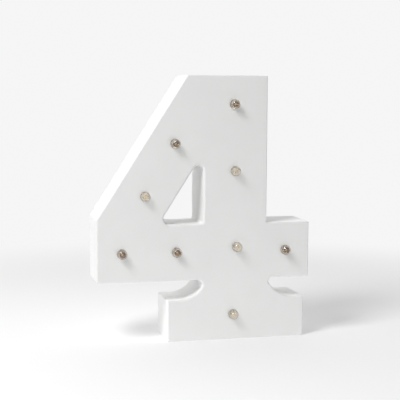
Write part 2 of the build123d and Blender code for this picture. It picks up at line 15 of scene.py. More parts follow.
import bmesh
import bpy
import numpy as np
from mathutils import Matrix, Vector, noise
from mathutils.geometry import delaunay_2d_cdt


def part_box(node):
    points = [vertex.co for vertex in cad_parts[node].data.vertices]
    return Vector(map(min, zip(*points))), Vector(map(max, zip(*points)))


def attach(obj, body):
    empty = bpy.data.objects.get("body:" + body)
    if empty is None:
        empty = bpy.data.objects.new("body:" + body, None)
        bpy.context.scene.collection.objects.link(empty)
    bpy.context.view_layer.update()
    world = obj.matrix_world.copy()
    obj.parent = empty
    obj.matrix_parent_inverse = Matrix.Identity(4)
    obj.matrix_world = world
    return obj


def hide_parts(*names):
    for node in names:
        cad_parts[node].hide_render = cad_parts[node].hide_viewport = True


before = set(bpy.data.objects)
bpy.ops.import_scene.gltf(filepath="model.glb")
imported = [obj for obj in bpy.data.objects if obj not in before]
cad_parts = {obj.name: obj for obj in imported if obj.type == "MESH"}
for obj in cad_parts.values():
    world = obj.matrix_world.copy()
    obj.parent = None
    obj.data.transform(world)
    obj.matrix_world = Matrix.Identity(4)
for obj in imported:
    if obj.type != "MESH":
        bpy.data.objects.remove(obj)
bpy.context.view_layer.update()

log = logging.getLogger("marquee_number")

MM = 0.001
FULL_TURN = 2 * math.pi
NOISE_SEED = 1


def in_plan(point: Vector) -> Vector:
    """The place of a point in the front elevation: its X and Z."""
    return Vector((point.x, point.z))


def at_depth(place: Vector, depth: float) -> Vector:
    """The point of the front elevation at the depth Y."""
    return Vector((place.x, depth, place.y))


def arc(centre: Vector, radius: float, start: float, end: float, step: float) -> list[Vector]:
    """Points along an arc of the front elevation, both ends included.

    Args:
        centre: The arc's centre.
        radius: Its radius.
        start: The angle of its first point, in degrees from +X.
        end: The angle of its last point, past start either way.
        step: The longest distance between two points.

    Returns:
        The points in order.
    """
    sweep = math.radians(end - start)
    count = max(2, math.ceil(abs(sweep) * radius / step))
    angles = [math.radians(start) + sweep * i / count for i in range(count + 1)]
    return [centre + Vector((math.cos(a), math.sin(a))) * radius for a in angles]


def solids_of(node: str) -> list[list[Vector]]:
    """The separate solids of a node of the frame, each as a list of its points.

    Args:
        node: The node's name.

    Returns:
        One list of points for each solid, in the order in which the node holds them.
    """
    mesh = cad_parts[node].data
    seen: dict[tuple[float, ...], int] = {}
    welded = [seen.setdefault(tuple(round(c, 7) for c in v.co), len(seen)) for v in mesh.vertices]
    leader = list(range(len(seen)))

    def find(i: int) -> int:
        """The point that stands for the solid that point i belongs to."""
        while leader[i] != i:
            leader[i] = leader[leader[i]]
            i = leader[i]
        return i

    for polygon in mesh.polygons:
        first = find(welded[polygon.vertices[0]])
        for v in polygon.vertices[1:]:
            leader[find(welded[v])] = first
    groups: dict[int, list[Vector]] = {}
    for place, i in seen.items():
        groups.setdefault(find(i), []).append(Vector(place))
    return list(groups.values())


def middle_of(points: Sequence[Vector]) -> Vector:
    """The middle of the box round some points.

    Args:
        points: The points.

    Returns:
        The middle.
    """
    low = Vector([min(p[i] for p in points) for i in range(3)])
    high = Vector([max(p[i] for p in points) for i in range(3)])
    return (low + high) / 2


# Plan of the numeral


@dataclass(frozen=True)
class Corner:
    """A point where a rim turns.

    Attributes:
        place: Where it is in the front elevation.
        papered: Whether the paper rounds it.
    """

    place: Vector
    papered: bool = True


def soft_corners(places: Sequence[Vector], radii: Sequence[float], step: float) -> list[Corner]:
    """Replaces each corner of a polygon by an arc.

    Args:
        places: The polygon's corners in order.
        radii: The radius of the arc at each corner.
        step: The longest distance between two points of an arc.

    Returns:
        The points of the arcs, none of them papered.
    """
    corners = []
    for i, (place, radius) in enumerate(zip(places, radii)):
        arriving = (place - places[i - 1]).normalized()
        leaving = (places[(i + 1) % len(places)] - place).normalized()
        turn = arriving.angle_signed(leaving)
        cut = radius * math.tan(abs(turn) / 2)
        side = 1 if turn < 0 else -1
        centre = place - arriving * cut + Vector((-arriving.y, arriving.x)) * (radius * side)
        start = math.degrees(math.atan2(*(place - arriving * cut - centre).yx))
        corners += [Corner(p, False) for p in arc(centre, radius, start, start - math.degrees(turn), step)]
    return corners


@dataclass(frozen=True)
class NumeralPlan:
    """The front elevation of the numeral, read from the boards of the frame.

    Values with top, bottom and height are places along Z, those with left, right, end and half along X, and
    front and back along Y. A bracket is the hollow between foot and bar, with its radius, how far the foot's
    upper edge runs flat before it, and the radius of the nose where it meets the bar. The counter has a
    radius at its left corner, at its square one and at its apex.
    """

    front: float
    back: float
    height: float
    head_left: float
    stem_half: float
    arm_end: float
    bar_end: float
    bar_top: float
    bar_bottom: float
    left_end_top: float
    foot_left: float
    foot_right: float
    foot_top: float
    board: float
    diagonal_band: float = 45.7 * MM
    bracket_radius: float = 24.0 * MM
    bracket_flat: float = 9.2 * MM
    left_nose: float = 4.5 * MM
    right_nose: float = 2.8 * MM
    counter_foot: float = 5.0 * MM
    counter_square: float = 2.2 * MM
    counter_apex: float = 4.3 * MM
    counter_board: float = 2.5 * MM
    arc_step: float = 0.9 * MM

    @classmethod
    def from_frame(cls) -> "NumeralPlan":
        """Reads the plan from the boxes of the boards.

        Returns:
            The plan.
        """
        front_low, front_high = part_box("front_panel")
        back_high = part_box("back_panel")[1]
        left_low, left_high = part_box("wall_left_end")
        arm_low, arm_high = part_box("wall_arm_end")
        foot_low, foot_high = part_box("wall_foot_underside")
        return cls(
            front=front_low.y,
            back=back_high.y,
            height=front_high.z,
            head_left=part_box("wall_top")[0].x,
            stem_half=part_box("wall_stem_right")[1].x,
            arm_end=arm_high.x,
            bar_end=left_low.x,
            bar_top=arm_high.z,
            bar_bottom=arm_low.z,
            left_end_top=left_high.z,
            foot_left=foot_low.x,
            foot_right=foot_high.x,
            foot_top=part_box("wall_foot_left")[1].z,
            board=front_high.y - front_low.y,
        )

    def bracket(self, nose_radius: float) -> list[Vector]:
        """The left bracket from the underside of the bar, round the nose and down the curve to the foot.

        Args:
            nose_radius: The radius of its nose.

        Returns:
            The points in order.
        """
        centre = Vector((self.foot_left + self.bracket_flat, self.foot_top + self.bracket_radius))
        reach = self.bracket_radius - nose_radius
        drop = centre.y - (self.bar_bottom - nose_radius)
        nose = centre + Vector((math.sqrt(reach**2 - drop**2), -drop))
        meeting = math.degrees(math.asin(-drop / reach))
        round_nose = arc(nose, nose_radius, 90, meeting, self.arc_step)
        return round_nose + arc(centre, self.bracket_radius, meeting, -90, self.arc_step)[1:]

    def outline(self) -> list[Corner]:
        """The outline, with the board on its left.

        Returns:
            Its corners in order.
        """
        left = self.bracket(self.left_nose)
        shift = self.foot_left + self.foot_right
        right = [Vector((shift - p.x, p.y)) for p in reversed(self.bracket(self.right_nose))]
        upper = [
            (self.arm_end, self.bar_bottom),
            (self.arm_end, self.bar_top),
            (self.stem_half, self.bar_top),
            (self.stem_half, self.height),
            (self.head_left, self.height),
            (self.bar_end, self.left_end_top),
            (self.bar_end, self.bar_bottom),
        ]
        foot = [
            (self.foot_left, self.foot_top),
            (self.foot_left, 0),
            (self.foot_right, 0),
            (self.foot_right, self.foot_top),
        ]
        return [
            *[Corner(Vector(p)) for p in upper],
            *[Corner(p, False) for p in left],
            *[Corner(Vector(p)) for p in foot],
            *[Corner(p, False) for p in right],
        ]

    def counter(self) -> list[Corner]:
        """The rim of the triangular hole, with the board on its left.

        Returns:
            Its corners in order.
        """
        foot = Vector((self.bar_end, self.left_end_top))
        run = (Vector((self.head_left, self.height)) - foot).normalized()
        edge = foot + Vector((run.y, -run.x)) * self.diagonal_band
        slope = run.y / run.x
        places = [
            Vector((edge.x + (self.bar_top - edge.y) / slope, self.bar_top)),
            Vector((-self.stem_half, edge.y + (-self.stem_half - edge.x) * slope)),
            Vector((-self.stem_half, self.bar_top)),
        ]
        radii = (self.counter_foot, self.counter_apex, self.counter_square)
        return soft_corners(places, radii, self.arc_step)


class Rim:
    """A closed edge of the numeral, sampled once, so that rings along it join point to point."""

    FIRST_STEP = 0.35 * MM
    GROWTH = 1.4
    KERNEL_REACH = 2.6

    def __init__(self, corners: Sequence[Corner], rounding: float, widest: float) -> None:
        """Samples the rim.

        Args:
            corners: Its corners in order, with the board on the left.
            rounding: How far the paper rounds a papered corner.
            widest: The longest distance between two samples.
        """
        self.corners = list(corners)
        self.mitres = [self._mitre(i) for i in range(len(corners))]
        self.samples: list[tuple[int, float]] = []
        self.along: list[float] = []
        self.length = 0.0
        for i, corner in enumerate(self.corners):
            following = self.corners[(i + 1) % len(corners)]
            span = (following.place - corner.place).length
            for distance in self._steps(span, corner.papered, following.papered, widest):
                self.samples.append((i, distance / span))
                self.along.append(self.length + distance)
            self.length += span
        self.blend = self._blend(rounding)

    def _mitre(self, i: int) -> Vector:
        """The step into the board that keeps corner i on both edges' parallels.

        Args:
            i: The corner's number.

        Returns:
            The step for an inset of 1.
        """
        before = self.corners[i - 1].place
        here = self.corners[i].place
        after = self.corners[(i + 1) % len(self.corners)].place
        arriving = (here - before).normalized()
        leaving = (after - here).normalized()
        first = Vector((-arriving.y, arriving.x))
        second = Vector((-leaving.y, leaving.x))
        return (first + second) / (1 + first.dot(second))

    def _steps(self, span: float, fine_start: bool, fine_end: bool, widest: float) -> list[float]:
        """Distances of the samples along one edge, its end left out, close together at papered corners.

        Args:
            span: The edge's length.
            fine_start: Whether it starts at a papered corner.
            fine_end: Whether it ends at one.
            widest: The longest distance between samples.

        Returns:
            The distances from its start.
        """

        def half(fine: bool) -> list[float]:
            """Distances from one end to the middle of the edge."""
            reach, step, found = 0.0, self.FIRST_STEP if fine else widest, []
            while reach < span / 2:
                found.append(reach)
                reach += step
                step = min(step * self.GROWTH, widest)
            return found

        return half(fine_start) + [span - d for d in reversed(half(fine_end)[1:])]

    def _blend(self, rounding: float) -> list[list[tuple[int, float]]]:
        """For each sample, those that it is drawn towards and how much, which rounds the papered corners.

        Args:
            rounding: How far the paper rounds a corner.

        Returns:
            The numbers of those samples and their weights, for each sample.
        """
        count = len(self.samples)
        starts: list[float] = []
        run = 0.0
        for i, corner in enumerate(self.corners):
            if corner.papered:
                starts.append(run)
            run += (self.corners[(i + 1) % len(self.corners)].place - corner.place).length

        def apart(a: float, b: float) -> float:
            """The distance between two places along the closed rim."""
            gap = abs(a - b) % self.length
            return min(gap, self.length - gap)

        reach = self.KERNEL_REACH * rounding
        blend = []
        for i, t in enumerate(self.along):
            if not any(apart(t, s) < 2 * reach for s in starts):
                blend.append([(i, 1.0)])
                continue
            near = []
            for step in range(-count // 3, count // 3):
                j = (i + step) % count
                gap = apart(t, self.along[j])
                if gap < reach:
                    share = apart(self.along[j - 1], self.along[(j + 1) % count]) / 2
                    near.append((j, share * math.exp(-((gap / rounding) ** 2))))
            total = sum(w for _, w in near)
            blend.append([(j, w / total) for j, w in near])
        return blend

    def ring(self, inset: Callable[[int], float]) -> list[Vector]:
        """The ring that lies inset(i) into the board at sample i.

        Args:
            inset: Gives the inset at a sample's number.

        Returns:
            The points of the ring.
        """
        raw = []
        for i, (edge, share) in enumerate(self.samples):
            following = (edge + 1) % len(self.corners)
            depth = inset(i)
            start = self.corners[edge].place + self.mitres[edge] * depth
            end = self.corners[following].place + self.mitres[following] * depth
            raw.append(start.lerp(end, share))
        return [sum((raw[j] * w for j, w in near), Vector((0, 0))) for near in self.blend]

    def edges(self) -> np.ndarray:
        """The rim's edges as rows of start and end."""
        places = [c.place for c in self.corners]
        return np.array([[*a, *b] for a, b in zip(places, places[1:] + places[:1])])


def distance_to(edges: np.ndarray, points: np.ndarray) -> np.ndarray:
    """The distance from each point to the nearest edge.

    Args:
        edges: Rows of start and end.
        points: Rows of X and Z.

    Returns:
        One distance for each point.
    """
    start, run = edges[:, :2], edges[:, 2:] - edges[:, :2]
    from_start = points[:, None, :] - start[None]
    share = np.clip((from_start * run).sum(2) / (run * run).sum(1), 0, 1)
    return np.linalg.norm(from_start - share[..., None] * run, axis=2).min(1)


def inside(loop: np.ndarray, points: np.ndarray) -> np.ndarray:
    """Whether each point lies inside a closed loop.

    Args:
        loop: Rows of X and Z, in order.
        points: Rows of X and Z.

    Returns:
        One truth value for each point.
    """
    found = np.zeros(len(points), bool)
    x, z = points[:, 0], points[:, 1]
    for (ax, az), (bx, bz) in zip(loop, np.roll(loop, -1, axis=0)):
        if az != bz:
            crosses = (az > z) != (bz > z)
            found ^= crosses & (x < (bx - ax) * (z - az) / (bz - az) + ax)
    return found


# Meshes


class Draft:
    """A mesh in the making: its points, its faces and the finish of each face.

    BORDER_SHARE is how far points inside a face keep from its borders, as a share of their spacing.
    WELD is the distance in metres within which points fall together.
    """

    BORDER_SHARE = 0.55
    WELD = 1e-9

    def __init__(self) -> None:
        """Starts an empty draft."""
        self.points: list[Vector] = []
        self.faces: list[tuple[int, ...]] = []
        self.finishes: list[int] = []

    def ring(self, points: Iterable[Vector]) -> list[int]:
        """Adds points and returns their numbers.

        Args:
            points: The points.

        Returns:
            Their numbers.
        """
        start = len(self.points)
        self.points += [Vector(p) for p in points]
        return list(range(start, len(self.points)))

    def face(self, corners: Sequence[int], finish: int = 0) -> None:
        """Adds one face."""
        self.faces.append(tuple(corners))
        self.finishes.append(finish)

    def bridge(self, first: Sequence[int], second: Sequence[int], finish: int = 0) -> None:
        """Joins two closed rings of as many points by a band of faces.

        Args:
            first: One ring.
            second: The other.
            finish: The band's finish.
        """
        count = len(first)
        for i in range(count):
            j = (i + 1) % count
            self.face((first[i], first[j], second[j], second[i]), finish)

    def fan(self, ring: Sequence[int], tip: Vector, finish: int = 0) -> None:
        """Closes a ring by a point.

        Args:
            ring: The ring.
            tip: The point.
            finish: The finish of the faces.
        """
        top = self.ring([tip])[0]
        for i in range(len(ring)):
            self.face((ring[i], ring[(i + 1) % len(ring)], top), finish)

    def fill(
        self,
        outer: Sequence[int],
        holes: Sequence[Sequence[int]],
        depth: float,
        spacing: float,
        finish: int = 0,
    ) -> None:
        """Fills the face between an outer ring and holes, with evenly spaced points inside.

        Args:
            outer: The ring round the face.
            holes: The rings of its holes.
            depth: The Y of the points inside.
            spacing: How far apart they are, or 0 for none.
            finish: The finish of the face.
        """
        loops = [list(outer), *[list(h) for h in holes]]
        borders = [np.array([in_plan(self.points[i]) for i in loop]) for loop in loops]
        numbers = [i for loop in loops for i in loop]
        limits = []
        start = 0
        for loop in loops:
            limits += [(start + i, start + (i + 1) % len(loop)) for i in range(len(loop))]
            start += len(loop)
        if spacing:
            grid = self._grid(borders, spacing)
            numbers += self.ring(at_depth(Vector(g), depth) for g in grid)
        flat = [in_plan(self.points[i]) for i in numbers]
        places, _, triangles, origins, _, _ = delaunay_2d_cdt(flat, limits, [], 0, self.WELD)
        centres = np.array([sum((places[v] for v in t), Vector((0, 0))) / 3 for t in triangles])
        keep = inside(borders[0], centres)
        for border in borders[1:]:
            keep &= ~inside(border, centres)
        for triangle, kept in zip(triangles, keep):
            if kept:
                self.face([numbers[origins[v][0]] for v in triangle], finish)

    @classmethod
    def _grid(cls, borders: Sequence[np.ndarray], spacing: float) -> np.ndarray:
        """Staggered points inside the first border, outside the others and clear of them all.

        Args:
            borders: The borders, the outer one first.
            spacing: How far apart the points are.

        Returns:
            The points.
        """
        low, high = borders[0].min(0), borders[0].max(0)
        rows = np.arange(low[1] + spacing / 2, high[1], spacing * math.sqrt(3) / 2)
        points = []
        for i, z in enumerate(rows):
            shift = spacing / 2 * (i % 2)
            points += [(x, z) for x in np.arange(low[0] + shift, high[0], spacing)]
        grid = np.array(points)
        keep = inside(borders[0], grid)
        for border in borders[1:]:
            keep &= ~inside(border, grid)
        for border in borders:
            edges = np.hstack([border, np.roll(border, -1, axis=0)])
            keep &= distance_to(edges, grid) > spacing * cls.BORDER_SHARE
        return grid[keep]

    def lathe(
        self, profile: Sequence[tuple[float, float]], sides: int, finish: int | Sequence[int] = 0
    ) -> None:
        """Turns a profile about the local Z axis.

        Args:
            profile: Radius and height of each point; the first and last lie on the axis.
            sides: How many sides the turned body has.
            finish: Its finish, or one for each band between two points of the profile.
        """
        bands = [finish] * (len(profile) - 1) if isinstance(finish, int) else list(finish)
        angles = [FULL_TURN * i / sides for i in range(sides)]
        rings = [
            self.ring(Vector((r * math.cos(a), r * math.sin(a), z)) for a in angles) for r, z in profile[1:-1]
        ]
        self.fan(rings[0], Vector((0, 0, profile[0][1])), bands[0])
        for first, second, band in zip(rings, rings[1:], bands[1:]):
            self.bridge(first, second, band)
        self.fan(rings[-1], Vector((0, 0, profile[-1][1])), bands[-1])

    def prism(self, section: Sequence[Vector], thickness: float, finish: int = 0) -> None:
        """Adds a plate with its section in the local XZ plane, centred on Y.

        Args:
            section: The section's corners.
            thickness: The plate's thickness.
            finish: Its finish.
        """
        front = self.ring(Vector((p[0], -thickness / 2, p[1])) for p in section)
        rear = self.ring(Vector((p[0], thickness / 2, p[1])) for p in section)
        self.bridge(front, rear, finish)
        self.face(front[::-1], finish)
        self.face(rear, finish)

    def hoop(self, quads: Sequence[Sequence[Vector]], finish: int = 0) -> None:
        """Adds a bar that runs from the first section to the last, closed at both ends.

        Args:
            quads: The sections in order.
            finish: The bar's finish.
        """
        rings = [self.ring(quad) for quad in quads]
        for first, second in zip(rings, rings[1:]):
            self.bridge(first, second, finish)
        self.face(rings[0][::-1], finish)
        self.face(rings[-1], finish)

    def rib(self, start: Vector, end: Vector, width: float, low: float, high: float, finish: int = 0) -> None:
        """Adds a straight rib on a plate.

        Args:
            start: One end in the front elevation.
            end: The other end.
            width: Its width.
            low: The Y of its root.
            high: The Y of its crest.
            finish: Its finish.
        """
        run = (end - start).normalized()
        side = Vector((-run.y, run.x)) * (width / 2)
        reach = run * (width / 2)
        self.hoop(
            [
                [at_depth(p - side, low), at_depth(p + side, low), at_depth(p + side * 0.6, high),
                 at_depth(p - side * 0.6, high)]
                for p in (start - reach, end + reach)
            ],
            finish,
        )

    def mesh(self, name: str, finishes: Sequence[bpy.types.Material], crease: float = 42.0) -> bpy.types.Mesh:
        """Makes the mesh, smooth but for creases past the angle given and edges between two finishes.

        Args:
            name: The mesh's name.
            finishes: Its materials, in the order of the finish numbers.
            crease: The angle in degrees from which an edge stays sharp.

        Returns:
            The mesh.
        """
        made = bpy.data.meshes.new(name)
        made.from_pydata(self.points, [], self.faces)
        for finish in finishes:
            made.materials.append(finish)
        made.polygons.foreach_set("material_index", self.finishes)
        work = bmesh.new()
        work.from_mesh(made)
        bmesh.ops.recalc_face_normals(work, faces=work.faces)
        for face in work.faces:
            face.smooth = True
        for edge in work.edges:
            meeting = {face.material_index for face in edge.link_faces}
            edge.smooth = len(meeting) == 1 and edge.calc_face_angle(0.0) < math.radians(crease)
        work.to_mesh(made)
        work.free()
        return made


def place_piece(name: str, mesh: bpy.types.Mesh, matrix: Matrix | None = None) -> bpy.types.Object:
    """Puts a mesh into the scene as a named piece.

    Args:
        name: The piece's name.
        mesh: Its mesh.
        matrix: Its place, or None where the mesh lies in place.

    Returns:
        The piece.
    """
    piece = bpy.data.objects.new(name, mesh)
    if matrix is not None:
        piece.matrix_world = matrix
    bpy.context.scene.collection.objects.link(piece)
    return piece


class Body(Enum):
    """The bodies of the frame."""

    CASE = "case"
    DOOR = "door"
    SWITCH = "switch"


def hand_over(piece: bpy.types.Object, body: Body, slot: str, *nodes: str) -> bpy.types.Object:
    """Fixes a piece to its body and hides the nodes that it stands for.

    Args:
        piece: The piece.
        body: Its body.
        slot: The name of its finish; not used.
        nodes: The nodes.

    Returns:
        The piece.
    """
    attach(piece, body.value)
    if nodes:
        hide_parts(*nodes)
    log.info("%s: %d faces, rides on %s", piece.name, len(piece.data.polygons), body.value)
    return piece


# Shader groups, shared by the finishes


class Graph:
    """A node tree laid out by code."""

    def __init__(self, tree: bpy.types.NodeTree) -> None:
        """Takes the tree to work on."""
        self.tree = tree

    def add(self, kind: str, **values: object) -> bpy.types.Node:
        """Adds a node.

        Args:
            kind: The node's type, without the leading ShaderNode.
            **values: Settings of the node, or values and sources of its inputs, with _ for a space.

        Returns:
            The node.
        """
        node = self.tree.nodes.new("ShaderNode" + kind)
        for key, value in values.items():
            if hasattr(node, key) and key.islower():
                setattr(node, key, value)
        for key, value in values.items():
            if not (hasattr(node, key) and key.islower()):
                self.feed(node.inputs[key.replace("_", " ")], value)
        return node

    def feed(self, socket: bpy.types.NodeSocket, value: object) -> None:
        """Sets an input, or links it where the value is another node's output.

        Args:
            socket: The input.
            value: Its value.
        """
        if isinstance(value, bpy.types.NodeSocket):
            self.tree.links.new(value, socket)
        else:
            socket.default_value = value

    def math(self, operation: str, first: object, second: object = 0.0) -> bpy.types.NodeSocket:
        """The result of a calculation with two numbers.

        Args:
            operation: Its kind.
            first: The first number.
            second: The second.

        Returns:
            The output that carries it.
        """
        node = self.add("Math", operation=operation)
        self.feed(node.inputs[0], first)
        self.feed(node.inputs[1], second)
        return node.outputs[0]

    def spread(
        self, value: object, low: float, high: float, least: float, most: float
    ) -> bpy.types.NodeSocket:
        """Spreads low to high onto least to most, smoothly and held at both ends.

        Args:
            value: What is spread.
            low: Its lower end.
            high: Its upper end.
            least: What the lower end becomes.
            most: What the upper end becomes.

        Returns:
            The output that carries it.
        """
        node = self.add("MapRange", interpolation_type="SMOOTHSTEP")
        for socket, given in zip(node.inputs, (value, low, high, least, most)):
            self.feed(socket, given)
        return node.outputs[0]


class Groups:
    """The shader groups, each made once and placed in every finish that needs it."""

    FLOAT = "NodeSocketFloat"
    VECTOR = "NodeSocketVector"
    COLOUR = "NodeSocketColor"

    def __init__(self) -> None:
        """Makes the groups."""
        self.tone = self._tone()
        self.gloss = self._gloss()
        self.relief = self._relief()
        self.laps = self._laps()
        self.strokes = self._strokes()
        self.rubbed = self._rubbed()

    def _new(
        self, name: str, inputs: Sequence[tuple[str, str, object]], outputs: Sequence[tuple[str, str]]
    ) -> tuple[Graph, bpy.types.Node, bpy.types.Node]:
        """Makes an empty group with named inputs and outputs.

        Args:
            name: The group's name.
            inputs: The name, kind and first value of each input.
            outputs: The name and kind of each output.

        Returns:
            The group's graph, its input node and its output node.
        """
        tree = bpy.data.node_groups.new(name, "ShaderNodeTree")
        for title, kind, value in inputs:
            socket = tree.interface.new_socket(title, in_out="INPUT", socket_type=kind)
            if value is not None:
                socket.default_value = value
        for title, kind in outputs:
            tree.interface.new_socket(title, in_out="OUTPUT", socket_type=kind)
        return Graph(tree), tree.nodes.new("NodeGroupInput"), tree.nodes.new("NodeGroupOutput")

    def _tone(self) -> bpy.types.NodeTree:
        """A colour that drifts a little lighter and darker over the surface.

        Returns:
            The group.
        """
        graph, given, result = self._new(
            "tone drift",
            [
                ("Vector", self.VECTOR, None),
                ("Colour", self.COLOUR, (0.8, 0.8, 0.8, 1)),
                ("Shade", self.COLOUR, (0.7, 0.7, 0.7, 1)),
                ("Scale", self.FLOAT, 40.0),
                ("Amount", self.FLOAT, 0.2),
            ],
            [("Colour", self.COLOUR)],
        )
        broad = graph.add(
            "TexNoise", Vector=given.outputs["Vector"], Scale=given.outputs["Scale"], Detail=5.0
        )
        share = graph.spread(broad.outputs[0], 0.35, 0.7, 0.0, 1.0)
        mix = graph.add("Mix", data_type="RGBA")
        graph.feed(mix.inputs[0], graph.math("MULTIPLY", share, given.outputs["Amount"]))
        graph.feed(mix.inputs[6], given.outputs["Colour"])
        graph.feed(mix.inputs[7], given.outputs["Shade"])
        graph.feed(result.inputs[0], mix.outputs[2])
        return graph.tree

    def _gloss(self) -> bpy.types.NodeTree:
        """A roughness that varies with handling and with the moulding or the brush.

        Returns:
            The group.
        """
        graph, given, result = self._new(
            "gloss drift",
            [
                ("Vector", self.VECTOR, None),
                ("Roughness", self.FLOAT, 0.5),
                ("Amount", self.FLOAT, 0.1),
                ("Scale", self.FLOAT, 120.0),
            ],
            [("Roughness", self.FLOAT)],
        )
        patches = graph.add(
            "TexNoise",
            Vector=given.outputs["Vector"],
            Scale=given.outputs["Scale"],
            Detail=8.0,
            Roughness=0.65,
        )
        swing = graph.math("SUBTRACT", patches.outputs[0], 0.5)
        drift = graph.math("MULTIPLY", swing, given.outputs["Amount"])
        graph.feed(result.inputs[0], graph.math("ADD", given.outputs["Roughness"], drift))
        return graph.tree

    def _relief(self) -> bpy.types.NodeTree:
        """Fine grain over broader lumps, as a height.

        Returns:
            The group.
        """
        graph, given, result = self._new(
            "relief",
            [
                ("Vector", self.VECTOR, None),
                ("Grain scale", self.FLOAT, 2500.0),
                ("Grain", self.FLOAT, 0.3),
                ("Lump scale", self.FLOAT, 200.0),
                ("Lumps", self.FLOAT, 0.7),
            ],
            [("Height", self.FLOAT)],
        )
        grain, lumps = (
            graph.add("TexNoise", Vector=given.outputs["Vector"], Scale=given.outputs[scale], Detail=detail)
            for scale, detail in (("Grain scale", 3.0), ("Lump scale", 2.0))
        )
        fine = graph.math("MULTIPLY", grain.outputs[0], given.outputs["Grain"])
        broad = graph.math("MULTIPLY", lumps.outputs[0], given.outputs["Lumps"])
        graph.feed(result.inputs[0], graph.math("ADD", fine, broad))
        return graph.tree

    def _laps(self) -> bpy.types.NodeTree:
        """Torn pieces of paper lying over each other, as a height with soft steps.

        Returns:
            The group.
        """
        graph, given, result = self._new(
            "paper laps",
            [("Vector", self.VECTOR, None), ("Scale", self.FLOAT, 32.0), ("Tear", self.FLOAT, 0.012)],
            [("Height", self.FLOAT)],
        )
        fray = graph.add("TexNoise", Vector=given.outputs["Vector"], Scale=180.0, Detail=4.0)
        pull = graph.add("VectorMath", operation="SCALE")
        graph.feed(pull.inputs[0], fray.outputs["Color"])
        graph.feed(pull.inputs["Scale"], given.outputs["Tear"])
        moved = graph.add("VectorMath", operation="ADD")
        graph.feed(moved.inputs[0], given.outputs["Vector"])
        graph.feed(moved.inputs[1], pull.outputs[0])
        pieces = graph.add("TexVoronoi", feature="SMOOTH_F1", Vector=moved.outputs[0], Smoothness=0.12)
        graph.feed(pieces.inputs["Scale"], given.outputs["Scale"])
        tint = graph.add("SeparateColor")
        graph.feed(tint.inputs[0], pieces.outputs["Color"])
        graph.feed(result.inputs[0], tint.outputs[0])
        return graph.tree

    def _strokes(self) -> bpy.types.NodeTree:
        """Marks drawn out along one direction, as a height: of a brush, of rolling or of drawing.

        Returns:
            The group.
        """
        graph, given, result = self._new(
            "strokes",
            [
                ("Vector", self.VECTOR, None),
                ("Stretch", self.VECTOR, (40.0, 40.0, 900.0)),
                ("Wander", self.FLOAT, 0.4),
            ],
            [("Height", self.FLOAT)],
        )
        drawn = graph.add("VectorMath", operation="MULTIPLY")
        graph.feed(drawn.inputs[0], given.outputs["Vector"])
        graph.feed(drawn.inputs[1], given.outputs["Stretch"])
        marks = graph.add("TexNoise", Vector=drawn.outputs[0], Scale=1.0, Detail=4.0)
        graph.feed(marks.inputs["Distortion"], given.outputs["Wander"])
        graph.feed(result.inputs[0], marks.outputs[0])
        return graph.tree

    def _rubbed(self) -> bpy.types.NodeTree:
        """A mask of the edges that hands rub, broken up by noise.

        Returns:
            The group.
        """
        graph, given, result = self._new(
            "rubbed edges",
            [("Vector", self.VECTOR, None), ("Reach", self.FLOAT, 0.06), ("Scale", self.FLOAT, 300.0)],
            [("Mask", self.FLOAT)],
        )
        shape = graph.add("NewGeometry")
        edge = graph.math("SUBTRACT", shape.outputs["Pointiness"], 0.5)
        lifted = graph.math("DIVIDE", edge, given.outputs["Reach"])
        patches = graph.add(
            "TexNoise", Vector=given.outputs["Vector"], Scale=given.outputs["Scale"], Detail=6.0
        )
        broken = graph.spread(patches.outputs[0], 0.42, 0.62, 0.0, 1.0)
        held = graph.spread(lifted, 0.0, 1.0, 0.0, 1.0)
        graph.feed(result.inputs[0], graph.math("MULTIPLY", held, broken))
        return graph.tree


# Finishes


